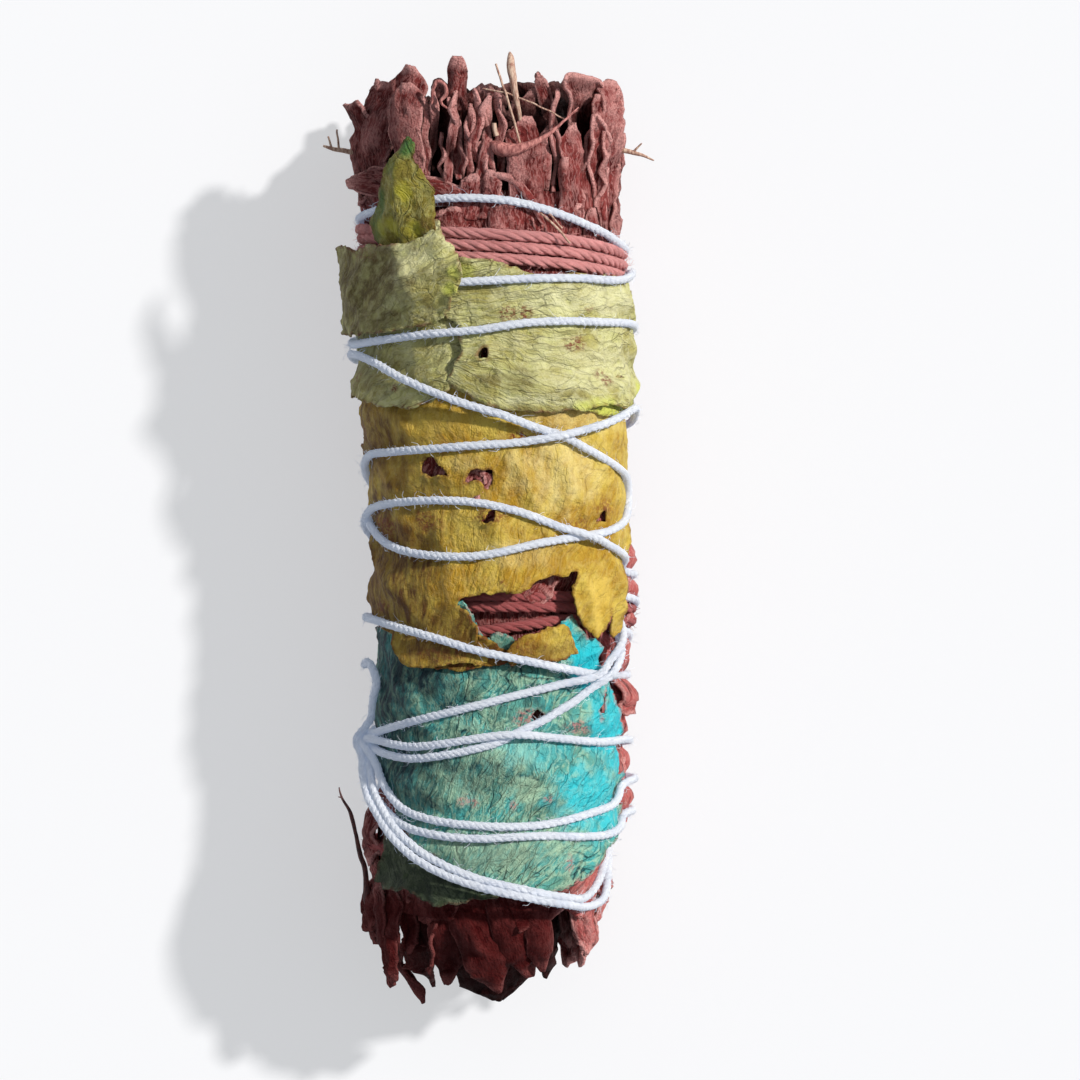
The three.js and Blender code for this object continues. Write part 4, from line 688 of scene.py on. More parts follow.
def curled_leaf(grid, leaf, seed, sizes, cords=()):
    """A leaf bent from a copy of the grid, pressed in by the cord over it and raised by the one under it."""
    blank, u, t = grid
    angle, depth, root, tip, width, curl, drift, flare = leaf
    obj = linked("leaf", blank.data.copy())
    across, length = 2 * u - 1, abs(tip - root)
    outward, bent = np.sign(tip - root), np.sign(curl)
    fold = abs(curl) * sizes.leaf_curl * (0.75 + 0.5 * (1 + grain(t * 2.3, seed * 0.7, seed)) / 2)
    narrowed = 0.45 + 0.55 * np.sin(np.pi * np.minimum(1, 0.12 + 0.72 * t))
    half = width / 2 * narrowed * (1 + 0.16 * grain(t * 5, np.sign(across) * 3.1 + seed, seed + 1))
    turn = half * np.sin(across * fold) / fold
    sink = bent * half * (1 - np.cos(across * fold)) / fold
    along = between(root, tip, t) - outward * torn_back(across, seed) * eased(t, 0.75, 1)
    along = along + 0.25 * grain(t * 6, across * 1.5, seed + 3)
    pucker = crumple_of(t * length, across * width / 2, seed, 1)
    ruffle = 0.5 * across**2 * grain(t * length * 0.45, np.sign(across) + seed, seed + 7)
    rib = -0.24 * bell(across * half, 0.35) * bent
    tip_curl = (0.9 * grain(seed * 0.37 + 0 * t, 0 * t, 5)) * eased(t, 0.72, 1.05)
    middle = packed_radius(angle, along) - depth - 0.6 * (1 - t) + flare * t * t
    radius = middle - sink + pucker * min(1, width / 4) + ruffle * min(1, width / 5) + rib + tip_curl
    where = angle + drift * t * t + np.degrees(turn / np.maximum(radius, 2.0))
    where = where + np.degrees(0.35 * grain(t * 2.5, seed * 0.9 + 0 * t, seed + 8) / np.maximum(radius, 3.0))
    if cords:
        over, under = (nearest(on_sheet(front_angle(where), along), cord) for cord in cords)
        radius = radius + 0.5 * bell(under, 1.3) - 1.25 * bell(over, 1.0)
    # How deep each point lies, for painted shade, and how near its rim, for painted highlight
    deep = (packed_radius(where, along) - radius) * lit_end(along)
    rim = np.minimum(1 - abs(across), 1.6 * (1 - t)) * width / 2
    shape = [across * half, t * length, seed * 0.137]
    dress_leaf(obj, place(where, along, radius), seed, shape, deep, rim, pucker + ruffle)
    if outward < 0:
        obj.data.flip_normals()
    return obj


def ribbon_leaf(grid, leaf, seed):
    """A leaf bent from a copy of the grid along stations of its own."""
    blank, u, t = grid
    rag, *stations = leaf
    obj = linked("leaf", blank.data.copy())
    table = np.array(stations, float)
    step = np.r_[0, np.cumsum(np.linalg.norm(np.diff(table[:, :2], axis=0), axis=1))]
    across, where = 2 * u - 1, t * step[-1]
    x, along, depth, half, curl, lean = (through(np.stack([step, column], 1), where) for column in table.T)
    start, narrowing = (0.9, 0.45) if rag < 0 else (0.8, 0.93)
    closing = np.sqrt(1 - np.clip((t - start) / (1 - start), 0, 1) ** 2 * narrowing)
    edge_side = np.sign(across) * 2.2 + seed
    rough = np.maximum(0.15, 1 - 0.6 * abs(curl))
    uneven = 0.16 * grain(where * 0.35, edge_side, seed) + 0.08 * grain(where * 1.3, edge_side, seed + 9)
    half = half * closing * (1 + rough * uneven)
    centre = through(CENTRE_LINE, along)
    angle = np.degrees(np.arcsin(np.clip((x - centre) / HALF_WIDTH, -1, 1)))
    for _ in range(2):
        reach = packed_radius(angle, along) - depth
        angle = np.degrees(np.arcsin(np.clip((x - centre) / reach, -0.999, 0.999)))
    a = np.radians(angle)
    out = np.stack([np.sin(a), 0 * a, np.cos(a)], 1)
    spine = np.stack([centre + reach * np.sin(a), along, AXIS_HEIGHT + reach * np.cos(a)], 1)
    way = np.array([table[-1, 0] - table[0, 0], table[-1, 1] - table[0, 1]])
    way /= np.linalg.norm(way)
    ahead = np.stack([way[0] * np.cos(a), np.full(len(a), way[1]), -way[0] * np.sin(a)], 1)
    side = np.cross(ahead, out)
    tilt = np.radians(lean)[:, None]
    side, out = side * np.cos(tilt) + out * np.sin(tilt), out * np.cos(tilt) - side * np.sin(tilt)
    fold = np.maximum(abs(curl), 0.05)
    sway = (half * np.sin(across * fold) / fold)[:, None]
    sink = (np.sign(curl) * half * (1 - np.cos(across * fold)) / fold)[:, None]
    size = np.minimum(1, half / 2)
    pucker = crumple_of(where, across * half, seed, size)
    ruffle = 0.5 * size * across**2 * grain(where * 0.5, np.sign(across) + seed, seed + 7)
    ragged = abs(rag) * torn_back(across, seed) + 0.5 * across**4
    ragged = ragged * np.minimum(1, half / 1.5) * eased(t, 0.72, 1)
    points = spine + side * sway - out * sink + out * (pucker + ruffle)[:, None] - ahead * ragged[:, None]
    points += side * (0.22 * grain(where * 0.4, across * 1.2 + seed, seed + 3))[:, None]
    from_axis = np.hypot(points[:, 0] - centre, points[:, 2] - AXIS_HEIGHT)
    # How deep each point lies, for painted shade, and how near its rim, for painted highlight
    deep = (packed_radius(angle, along) - from_axis) * lit_end(along)
    rim = np.minimum(1 - abs(across), 1.6 * (1 - t)) * half
    dress_leaf(obj, points, seed, [across * half, where, seed * 0.137], deep, rim, pucker + ruffle)
    return obj


def drawn_leaves():
    """Inner leaves of both ends, and their outer ones round the back."""
    random = np.random.RandomState(7)
    pick = random.uniform
    leaves = []
    for end in (1, -1):
        root = 32 if end > 0 else -34
        for angle in np.arange(98, 270, 13):
            tip = pick(46, 51) if end > 0 else pick(-50.5, -45.5)
            turned, depth, width = angle + pick(-3, 3), pick(0.6, 1.2), pick(4.2, 6.2)
            leaves.append([turned, depth, root, tip, width, pick(0.5, 1.1), pick(-3, 3), 0.3])
        for depth, step in ((2.4, 21), (4.4, 26), (6.4, 34), (8.4, 48), (10.6, 80)):
            for angle in np.arange(-180 + depth * 7, 180 + depth * 7, step):
                front = abs(angle) < 60
                low = 3.2 if 140 < angle % 360 < 220 else depth
                tip = pick(44.5, 50.2) if end > 0 else pick(-49.2, -44)
                if end > 0 and front:
                    tip = pick(48.4, 50.4)
                sunk = min(depth, low + 6) + pick(-0.5, 0.5) + (1.6 if front and depth < 5 else 0)
                turned, width = angle + pick(-6, 6), pick(4.5, 7)
                curl = pick(0.3, 0.8) * random.choice([-1, 1, 1])
                leaves.append([turned, sunk, root + 3 * end, tip, width, curl, pick(-6, 6), 0])
    return leaves


def frills():
    """Thin wavy strips in the hollows of the upper end, most of them set on edge."""
    pick = np.random.RandomState(5).uniform
    strips = []
    for x in (-7.9, -7.3, -6.1, -5.2, -4.6, -4.0, -3.3, -2.9, -2.3, -1.7, -1.2, -0.6, 0.3, 5.4, 6.2, 6.8):
        low, high = pick(37.5, 39), pick(42.5, 49)
        lean = pick(-70, 70)
        stations = [
            [
                x + pick(-0.5, 0.5), between(low, high, share), pick(0.3, 2.2), pick(0.35, 0.6), 0.5,
                lean + pick(-40, 40),
            ]
            for share in np.linspace(0, 1, 6)
        ]
        strips.append([0.3, *stations])
    return strips


def shred_leaves():
    """Narrow rolled shreds between the leaves of both ends."""
    random = np.random.RandomState(19)
    pick = random.uniform
    shreds = []
    for end in (1, -1):
        for _ in range(52):
            root = end * pick(33, 39)
            tip = np.clip(root + end * pick(7, 12), -50, 50.5)
            angle = pick(-180, 180)
            depth, width = pick(3.6 if abs(angle) < 62 else 0.3, 8), pick(1.2, 3.0)
            curl = pick(0.5, 1.5) * random.choice([-1, 1])
            shreds.append([angle, depth, root, tip, width, curl, pick(-14, 14), pick(-0.3, 0.6)])
    return shreds


def pressed_leaves():
    """Broad leaves pressed flat against the outside wherever no petal hides them."""
    random = np.random.RandomState(31)
    pick = random.uniform
    leaves = []
    for row, along in enumerate(np.arange(-38, 37, 6.5)):
        for angle in np.arange(56 + 9 * (row % 2), 305, 19):
            half = pick(11, 17) * random.choice([-1, 1]) / 2
            middle = along + pick(-2.5, 2.5)
            root, tip = np.clip([middle - half, middle + half], -44, 42)
            turned, depth, width, curl = angle + pick(-5, 5), pick(0.35, 0.95), pick(5, 8.4), pick(0.2, 0.55)
            leaves.append([turned, depth, root, tip, width, curl, pick(-7, 7), pick(-0.1, 0.45)])
    return leaves


def resting_leaves():
    """Leaves that bulge down between the cords to the surface that the stick rests on."""
    places = ((160, 0.9), (200, 1.0), (168, 1.6), (192, 1.8), (180, 2.5), (174, 3.3), (187, 3.3))
    leaves = []
    for middle, half in RESTING_PLACES:
        for angle, down in places:
            reach = half + 2.6 - 0.5 * down
            leaves.append([angle, -down, middle - reach, middle + reach, 7.4 - down, 0.95, 0, -0.3])
    return leaves


def sector_of(angle):
    """The number of the sprig at an angle round the stick."""
    start = SPRIG_EDGES[0]
    turn = (angle - start) % 360 + start
    return int(np.searchsorted(SPRIG_EDGES, turn, side="right")) - 1


def packed_stems(first, last, seed):
    """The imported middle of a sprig: its outer face, ridged lengthwise and closed in at both ends."""
    obj, u, v = flat_grid(int((last - first) / 3.2), 110)
    angle = between(first - 0.5, last + 0.5, u)
    cap = 0.12
    along = between(-39.5, 37.5, np.clip((v - cap) / (1 - 2 * cap), 0, 1))
    s = np.radians(angle) * SHEET_RADIUS
    broad = creased(s * 0.42 + 0.5 * grain(s * 0.1, along * 0.15, seed), along * 0.10, 5)
    ridges = 0.75 * broad + 0.35 * layered(s * 0.8, along * 0.5, 9)
    flat = on_sheet(front_angle(angle), along)
    under_petals = cover_share(front_angle(angle), along)
    under_petals = under_petals * eased(along, -40, -37) * (1 - eased(along, 29, 31))
    groove = bell(nearest(flat, unwound(RED_ROUTE, 0.8)), 1.5)
    outer = packed_radius(angle, along) - 1.3 + ridges + under_petals * (1.5 * (1 - groove))
    shrink = np.minimum(np.clip(v / cap, 0, 1), np.clip((1 - v) / cap, 0, 1)) ** 0.75
    radius = between(1.2, outer, shrink)
    bowl = 1 - shrink
    hollow = 1.6 * bowl * layered(angle * 0.09, radius * 0.6, 12) - 2.5 * bowl
    along = along + np.where(v < 0.5, -1, 1) * hollow
    # The closed-in ends count as deeper, for painted shade in their hollows
    deep = packed_radius(angle, along) - radius + 2.0 * bowl
    shape, rim = [s, along, seed * 0.31], np.full(len(u), 2.0)
    dress_leaf(obj, place(angle, along, radius), seed, shape, deep, rim, ridges - 0.5)
    return obj


# Tubes: cords, stalks and straws


def tubes(lines, radii, flat=None):
    """Round tubes, or strips as wide as flat, through points in millimetres, as one mesh."""
    curve = bpy.data.curves.new("tubes", "CURVE")
    curve.dimensions = "3D"
    if flat:
        curve.extrude = flat * MM / 2
    else:
        curve.bevel_depth = MM
        curve.bevel_resolution = 1
        curve.use_fill_caps = True
    for number, (line, radius) in enumerate(zip(lines, radii)):
        points = curve.splines.new("POLY").points
        points.add(len(line) - 1)
        points.foreach_set("co", np.c_[line * MM, np.ones(len(line))].astype(np.float32).ravel())
        points.foreach_set("radius", np.broadcast_to(radius, len(line)).astype(np.float32))
        if flat:
            points.foreach_set("tilt", np.full(len(line), 2.4 * number, np.float32))
    only(linked("tubes", curve))
    bpy.ops.object.convert(target="MESH")
    return bpy.context.object


def plied(angle, along, run, height, ply, spacing):
    """A cord of twisted plies along its route. ply is [radius, distance off the middle, lay, count]."""
    ply_radius, off, lay, count = ply
    fine = np.linspace(0, run[-1], int(run[-1] / spacing) + 1)
    angle, along, height = (np.interp(fine, run, column) for column in (angle, along, height))
    radius = packed_radius(angle, along) + height
    middle = place(angle, along, radius)
    window = np.array([1, 2, 3, 2, 1]) / 9
    middle = np.stack([np.convolve(np.pad(c, 2, "edge"), window, "valid") for c in middle.T], 1)
    ahead = np.gradient(middle, axis=0)
    ahead /= np.linalg.norm(ahead, axis=1, keepdims=True)
    out = place(angle, along, radius + 1) - place(angle, along, radius)
    out -= (out * ahead).sum(1, keepdims=True) * ahead
    out /= np.linalg.norm(out, axis=1, keepdims=True)
    side = np.cross(ahead, out)
    slack = 0.12 * grain(fine * 0.23, 0 * fine, 3)
    lines, widths = [], []
    for k in range(count):
        turn = 2 * np.pi * (fine / lay + slack + k / count)
        lines.append(middle + off * (np.cos(turn)[:, None] * out + np.sin(turn)[:, None] * side))
        widths.append(ply_radius * (1 + 0.06 * grain(fine * 0.9, np.full(len(fine), k * 3.3), 21)))
    return tubes(lines, widths), middle, out, ahead, side


def fuzz(middle, out, ahead, side, radius, count, seed):
    """Short loose fibres that stand out of a cord, each a thin bent sliver."""
    random = np.random.RandomState(seed)
    at = random.randint(2, len(middle) - 2, count)
    turn = random.uniform(0, 2 * np.pi, count)
    away = np.cos(turn)[:, None] * out[at] + np.sin(turn)[:, None] * side[at]
    lean = random.uniform(-1, 1, (count, 1)) * ahead[at]
    reach = random.uniform(0.25, 1.2, (count, 1))
    foot = middle[at] + away * radius * 0.85
    knee = foot + (away * 0.6 + lean * 0.8) * reach * 0.6
    tip = knee + (away * 0.15 + lean * 1.2 + 0.4 * random.normal(0, 1, (count, 3))) * reach * 0.6
    taper = np.array([1.0, 0.85, 0.45])
    return tubes([np.array(line) for line in zip(foot, knee, tip)], [taper] * count, flat=0.055)


# Materials


def dye(*rgb):
    """A colour given as 0 to 255, as the shader's own numbers."""
    return tuple(((c / 255 + 0.055) / 1.055) ** 2.4 if c > 10 else c / 255 / 12.92 for c in rgb)


class Wire:
    """A shader value that can be worked with like a number."""

    def __init__(self, paint, socket):
        self.paint = paint
        self.socket = socket

    def math(self, operation, *values):
        return self.paint.node("ShaderNodeMath", {"operation": operation}, dict(enumerate(values)))

    def __add__(self, other):
        return self.math("ADD", self, other)

    def __radd__(self, other):
        return self.math("ADD", other, self)

    def __sub__(self, other):
        return self.math("SUBTRACT", self, other)

    def __rsub__(self, other):
        return self.math("SUBTRACT", other, self)

    def __mul__(self, other):
        return self.math("MULTIPLY", self, other)

    def __rmul__(self, other):
        return self.math("MULTIPLY", other, self)

    def __abs__(self):
        return self.math("ABSOLUTE", self)

    def rise(self, low, high):
        """0 below low, 1 above high, smooth between, and the other way round where low is the larger."""
        inputs = {"Value": self, "From Min": low, "From Max": high}
        return self.paint.node("ShaderNodeMapRange", {"interpolation_type": "SMOOTHSTEP"}, inputs)


class Paint:
    """Builds the nodes of one material."""

    def __init__(self, name):
        self.material = bpy.data.materials.new(name)
        self.material.use_nodes = True
        self.tree = self.material.node_tree
        self.tree.nodes.clear()

    def node(self, kind, settings, inputs, output=0):
        made = self.tree.nodes.new(kind)
        for name, value in settings.items():
            setattr(made, name, value)
        for name, value in inputs.items():
            socket = made.inputs[name]
            if isinstance(value, Wire):
                self.tree.links.new(value.socket, socket)
            else:
                socket.default_value = (*value, 1) if socket.type == "RGBA" else value
        return Wire(self, made.outputs[output])

    def value(self, name, output="Fac"):
        return self.node("ShaderNodeAttribute", {"attribute_name": name}, {}, output)

    def place(self):
        return self.node("ShaderNodeTexCoord", {}, {}, "Object")

    def stretched(self, vector, *scale):
        return self.node("ShaderNodeMapping", {}, {"Vector": vector, "Scale": scale})

    def noise(self, vector, scale, detail=4.0, roughness=0.55, distortion=0.0, output=0):
        look = {"Detail": detail, "Roughness": roughness, "Distortion": distortion}
        return self.node("ShaderNodeTexNoise", {}, {"Vector": vector, "Scale": scale, **look}, output)

    def bent(self, vector, amount, scale):
        """The vector, displaced by noise."""
        inputs = {0: self.noise(vector, scale, 3.0, 0.5, output="Color"), 1: (amount,) * 3, 2: vector}
        return self.node("ShaderNodeVectorMath", {"operation": "MULTIPLY_ADD"}, inputs)

    def creases(self, vector, scale, width):
        """Lines between the cells of a pattern, 1 in their middle."""
        inputs = {"Vector": vector, "Scale": scale}
        edges = self.node("ShaderNodeTexVoronoi", {"feature": "DISTANCE_TO_EDGE"}, inputs)
        return 1 - edges.rise(0.0, width)

    def blend(self, share, first, second):
        return self.node("ShaderNodeMix", {"data_type": "RGBA"}, {0: share, 6: first, 7: second}, 2)

    def finish(self, colour, height, depth, roughness, specular=0.5, **constants):
        """Ends the material with this colour and this relief, depth metres deep."""
        normal = self.node("ShaderNodeBump", {}, {"Height": height, "Strength": 1.0, "Distance": depth})
        inputs = {"Base Color": colour, "Normal": normal, "Roughness": roughness, **constants}
        inputs["Specular IOR Level"] = specular
        surface = self.node("ShaderNodeBsdfPrincipled", {}, inputs)
        output = self.tree.nodes.new("ShaderNodeOutputMaterial")
        self.tree.links.new(surface.socket, output.inputs["Surface"])
        return self.material


# Each kind of petal: its colours apart from the lightest one, which are dark, shade, worn, fresh, pale
# and vein, and then how strongly it is veined, pleated and folded. Shade is mostly painted shade, but on
# the green tip it is the tip's own green. Pale is painted highlight, partly bleached cream. Folded sets
# the folds' relief, with painted highlight on their crests and painted shade in their hollows
PETAL_LOOKS = {
    "green_petal": [
        (176, 166, 94), (98, 82, 30), (120, 52, 38),
        (206, 210, 90), (226, 222, 176), (106, 94, 46), 0.65, 0.4, 0.3,
    ],
    "green_tip": [
        (120, 104, 40), (70, 108, 50), (118, 84, 36),
        (206, 198, 58), (190, 186, 120), (84, 74, 28), 0.9, 0.2, 0.3,
    ],
    "yellow_petal": [
        (178, 136, 30), (92, 54, 8), (118, 52, 28),
        (232, 200, 92), (240, 222, 156), (150, 108, 30), 0.34, 0.36, 0.1,
    ],
    "turquoise_petal": [
        (104, 152, 130), (6, 42, 52), (196, 132, 128),
        (28, 204, 218), (184, 214, 178), (10, 58, 68), 0.9, 0.34, 0.5,
    ],
    "dark_petal": [
        (46, 56, 38), (26, 34, 26), (110, 76, 56),
        (96, 116, 66), (120, 130, 100), (30, 46, 38), 0.5, 0.3, 0.3,
    ],
}


def petal_paint(name, light):
    """A dried petal: branching veins, pleats, blotches, browned torn edges and stained spots, with painted
    highlights and painted shade.
    """
    p = Paint(name)
    light = tuple(light)
    *dyes, veined, pleated, folded = PETAL_LOOKS[name]
    dark, shade, worn, fresh, pale, vein = (dye(*c) for c in dyes)
    sheet, fan = p.value("sheet", "Vector"), p.value("fan", "Vector")
    mottle = p.noise(sheet, 1.1, 6.0, 0.7)
    pleat = p.noise(p.stretched(fan, 1.0, 0.07, 0.1), 1.5, 4.0, 0.6)
    bent = p.bent(fan, 1.6, 0.35)
    veins = p.creases(p.stretched(bent, 1.0, 0.3, 0.1), 0.42, 0.028)
    branches = p.creases(p.stretched(bent, 1.0, 0.42, 0.1), 1.1, 0.04)
    net = p.creases(p.bent(sheet, 0.5, 1.0), 2.6, 0.1)
    fold = 1 - abs(p.noise(p.stretched(p.bent(fan, 0.8, 0.5), 1.0, 0.45, 0.1), 0.8, 4.0, 0.6) * 2 - 1)
    seen = p.noise(sheet, 0.35, 3.0).rise(0.36, 0.6)
    lines = (veins * 0.9 + branches * 0.6 + net * 0.12) * (0.35 + seen * 0.65) * veined
    freckle = p.noise(sheet, 2.2, 4.0, 0.75).rise(0.42, 0.6)
    brush = p.noise(p.stretched(fan, 1.1, 0.5, 0.2), 0.9, 5.0, 0.7).rise(0.36, 0.62)
    rim = (1 - p.value("edge").rise(0.0, 0.4)) * p.noise(sheet, 1.1, 3.0).rise(0.4, 0.6)
    colour = p.blend(p.noise(sheet, 0.24, 5.0, 0.62).rise(0.36, 0.64), light, dark)
    for share, over in (
        (mottle.rise(0.52, 0.74) * 0.5, shade),
        (mottle.rise(0.45, 0.3) * 0.35, fresh),
        (pleat.rise(0.52, 0.64) * pleated, vein),
        (pleat.rise(0.46, 0.36) * pleated, light),
        (lines, vein),
        # Painted highlight on the fold crests and painted shade in the fold hollows
        (fold.rise(0.86, 0.98) * folded, pale),
        (fold.rise(0.6, 0.4) * folded, shade),
        # Pale spots: painted highlight, partly bleached cream. Shade spots: mostly painted shade
        (p.value("pale") * (0.35 + brush * 0.65), pale),
        (p.value("shade") * (0.5 + brush * 0.5), shade),
        (p.value("fresh") * (0.6 + mottle * 0.5), fresh),
        (p.value("worn") * freckle, worn),
        (rim * 0.6, worn),
    ):
        colour = p.blend(share, colour, over)
    crumple = p.noise(sheet, 0.7, 5.0, 0.6, 0.4)
    felt = p.noise(p.place(), 4800.0, 4.0, 0.7)
    relief = crumple * 1.3 + fold * (0.2 + 1.7 * folded) + mottle * 0.8 + pleat * (1.2 * pleated + 0.2)
    return p.finish(colour, relief + felt * 0.2 - lines * 0.5, 0.00042, 0.6, 0.26)


def sage_paint(colours):
    """Dyed sage: felted leaves, crumpled, painted paler where they stand out, on their rims and crests,
    which is painted highlight, and dark in their creases and where they lie deep, which is painted shade.
    """
    p = Paint("sage_leaves")
    names = ("sage_dark", "sage_middle", "sage_light", "sage_bright")
    dark, middle, light, bright = (tuple(getattr(colours, name)) for name in names)
    wine = tuple(c * part for c, part in zip(dark, (0.55, 0.12, 0.15)))
    leaf, where = p.value("leaf", "Vector"), p.place()
    patch = p.noise(where, 800.0, 5.0, 0.7)
    felt = p.noise(where, 4600.0, 4.0, 0.75)
    crumple = p.noise(p.stretched(leaf, 1.0, 0.5, 1.0), 0.9, 5.0, 0.62, 0.5)
    rib = 1 - abs(p.noise(p.stretched(p.bent(leaf, 0.5, 0.6), 2.1, 0.5, 1.0), 1.0, 3.0, 0.6) * 2 - 1)
    tone = p.value("tone")
    # Painted highlights are weaker where the tone paints the leaves darker
    lit = 1 - tone * 0.95
    high = p.value("raised").rise(0.02, 0.6)
    edge = (1 - p.value("rim").rise(0.0, 0.4)) * felt.rise(0.3, 0.55)
    deep = p.value("deep").rise(0.7, 3.1)
    fuzz_and_highlight = p.blend(tone.rise(0.5, 0.9) * 0.8, light, middle)
    colour = p.blend(p.noise(where, 200.0, 4.0, 0.6).rise(0.34, 0.62), dark, middle)
    # In order: dye patches; painted light down the right side; painted shade in the rib grooves and the
    # crumple's creases; the tone's darker dye and painted shade; painted highlights, partly pale felt fuzz,
    # on raised places, rib crests, rims and felt specks; painted shade where the leaves lie deep
    for share, over in (
        (patch.rise(0.42, 0.64) * 0.7, middle),
        (p.value("lively") * (0.65 + patch * 0.5), bright),
        (rib.rise(0.62, 0.45) * 0.6, dark),
        (crumple.rise(0.5, 0.34) * 0.9, dark),
        (tone * 0.92, wine),
        (high * felt.rise(0.22, 0.78) * lit, fuzz_and_highlight),
        (rib.rise(0.86, 0.98) * 0.4 * lit, fuzz_and_highlight),
        (edge * (1 - tone * 0.6), fuzz_and_highlight),
        (felt.rise(0.58, 0.7) * 0.34 * lit, fuzz_and_highlight),
        (deep * 0.92, tuple(c * 0.1 for c in dark)),
    ):
        colour = p.blend(share, colour, over)
    return p.finish(colour, crumple * 1.9 + rib * 0.5 + patch * 1.3 + felt * 0.6, 0.0006, 0.72, 0.08)


def cotton_paint(name, light, shade, speck, length, sheen, painted_glow, below=None):
    """Plied cotton: fibres that run along the plies, dirt, a darker red towards the lower end, which is
    painted shade, and a faint glow that lightens the shaded side, which is painted light.
    """
    p = Paint(name)
    where = p.place()
    strand = p.stretched(p.value("UVMap", "Vector"), 3.0, length * 0.42, 1.0)
    fibre = p.noise(p.bent(strand, 0.5, 1.0), 2.2, 4.0, 0.7)
    wool = p.noise(where, 6500.0, 3.0, 0.7)
    colour = p.blend(p.noise(where, 420.0, 4.0, 0.6).rise(0.46, 0.74) * 0.4, tuple(light), shade)
    colour = p.blend(fibre.rise(0.5, 0.34) * 0.4, colour, shade)
    colour = p.blend(p.noise(where, 1500.0, 2.0).rise(0.68, 0.76) * 0.3, colour, speck)
    # Painted shade: darker towards the lower end
    if below:
        height = p.node("ShaderNodeSeparateXYZ", {}, {"Vector": where}, "Y")
        colour = p.blend(height.rise(22 * MM, 8 * MM) * 0.75, colour, below)
    # A faint bluish glow that lightens the cord's shaded side: painted light
    soft = {"Emission Color": dye(190, 214, 255), "Emission Strength": painted_glow}
    cloth = {"Sheen Weight": sheen, "Sheen Roughness": 0.35}
    return p.finish(colour, fibre * 1.2 + wool * 0.7, 0.00014, 0.9, 0.2, **soft, **cloth)


def dry_paint(name, light, dark):
    """Dry straw or twig, streaked lengthwise."""
    p = Paint(name)
    streak = p.noise(p.stretched(p.place(), 1.0, 0.25, 1.0), 3800.0, 4.0, 0.65)
    return p.finish(p.blend(streak.rise(0.35, 0.65), light, dark), streak, 0.0001, 0.7)


def floor_paint(tint, glow):
    p = Paint("pale_floor")
    cloud = p.noise(p.place(), 3.0, 2.0)
    colour = p.blend(cloud * 0.2, tuple(tint), tuple(0.97 * c for c in tint))
    glowing = {"Emission Color": (1.0, 1.0, 1.0), "Emission Strength": glow}
    return p.finish(colour, cloud, 0.0001, 0.9, **glowing)


# Heights of the petals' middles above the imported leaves


def level(height):
    return lambda angle, along: height + 0 * angle


def stepped(low, high, first, last):
    """One height below the place "first", another above "last"."""
    return lambda angle, along: between(low, high, eased(along, first, last))


def left_green_height(angle, along):
    over_petals = between(SECOND_LAYER, FIRST_LAYER, eased(along, 31, 34))
    over_cord = eased(angle, -50, -30) * (1 - eased(abs(along - 27.4), 1.2, 3.4))
    return over_petals + 1.0 * over_cord


def right_green_height(angle, along):
    over_yellow = 1 - eased(along, 15.8, 18.8)
    edge = between(-20, -9, (along - 16.2) / 4.2)
    over_low = (1 - eased(angle - edge, 5, 14)) * (1 - eased(along, 18.4, 20.6))
    return between(FIRST_LAYER, SECOND_LAYER, np.maximum(over_yellow, over_low))


def low_green_height(angle, along):
    over_yellow = between(SECOND_LAYER, FIRST_LAYER, eased(along, 16.4, 18.6))
    return over_yellow - 0.75 * eased(angle, -21, -12) - 0.6 * eased(along, 22.6, 24)


def yellow_height(angle, along):
    over_turquoise = between(SECOND_LAYER, FIRST_LAYER, eased(along, -6.6, -2.6))
    return over_turquoise - 0.35 * eased(along, 13.4, 15)


def tip_height(angle, along):
    over_cord = between(SECOND_LAYER - 0.75, SECOND_LAYER, eased(along, 31, 35)) - 0.9 * eased(along, 40, 44)
    return over_cord - 0.05 * abs(angle + 34) * eased(along, 33, 37)


# Petals. "base" is where the veins fan out from, on the sheet. Outlines, holes and spots are in
# degrees and millimetres along: humps and spots are [angle, along, half angle, half length,
# height or strength], and folds are [angle, along, to angle, to along, width, height]. Shade spots
# are mostly painted shade, but on the green tip they are its own green. Pale spots are painted
# highlight, partly bleached cream.
STAINS_AND_PAINTED_LIGHT = ("shade", "worn", "fresh", "pale")
GREEN_TIP = {
    "name": "green_tip", "base": (-9, 20), "seed": 47, "curl": 0.1, "curled": 0.4, "pleats": 0.05,
    "alone": True, "height": tip_height,
    "outline": [
        [-28.6, 43.6], [-31, 42.8], [-33.8, 41.6], [-38, 40.6], [-41, 39.4], [-44.6, 38.2], [-46.4, 37],
        [-48.6, 35.4], [-50.4, 33.6], [-50, 32.2], [-47, 31.2], [-38, 30.6], [-24, 31], [-22, 32.5],
        [-20.6, 34.4], [-20.8, 35.9], [-21.4, 37.5], [-23.4, 39], [-25, 40.6], [-26.6, 41.4], [-26.2, 42.4],
        [-27.4, 43],
    ],
    "humps": [[-33, 35.6, 12, 4.5, 0.3]],
    "folds": [
        [-29, 43, -36, 31, 1.4, 0.7], [-30, 42, -45.5, 31.5, 1.1, 0.5], [-28, 40, -25, 32, 1, 0.45],
        [-40, 36.6, -28, 34.2, 0.9, 0.25],
    ],
    # Shade: the tip's own green, at its left edge and apex
    "shade": [
        [-47, 36.4, 5, 4, 0.9], [-29, 42.6, 5, 1.6, 1], [-50, 33, 4, 2, 0.7], [-37, 40.6, 4, 1.2, 0.5],
    ],
    "fresh": [
        [-31, 37.2, 3, 1.4, 0.6], [-38, 33.8, 3, 1.6, 0.6], [-29, 33.4, 4, 1, 0.5],
        [-44, 33.4, 2.5, 1.4, 0.4],
    ],
    "worn": [[-24, 33, 3, 1.5, 0.5]],
}
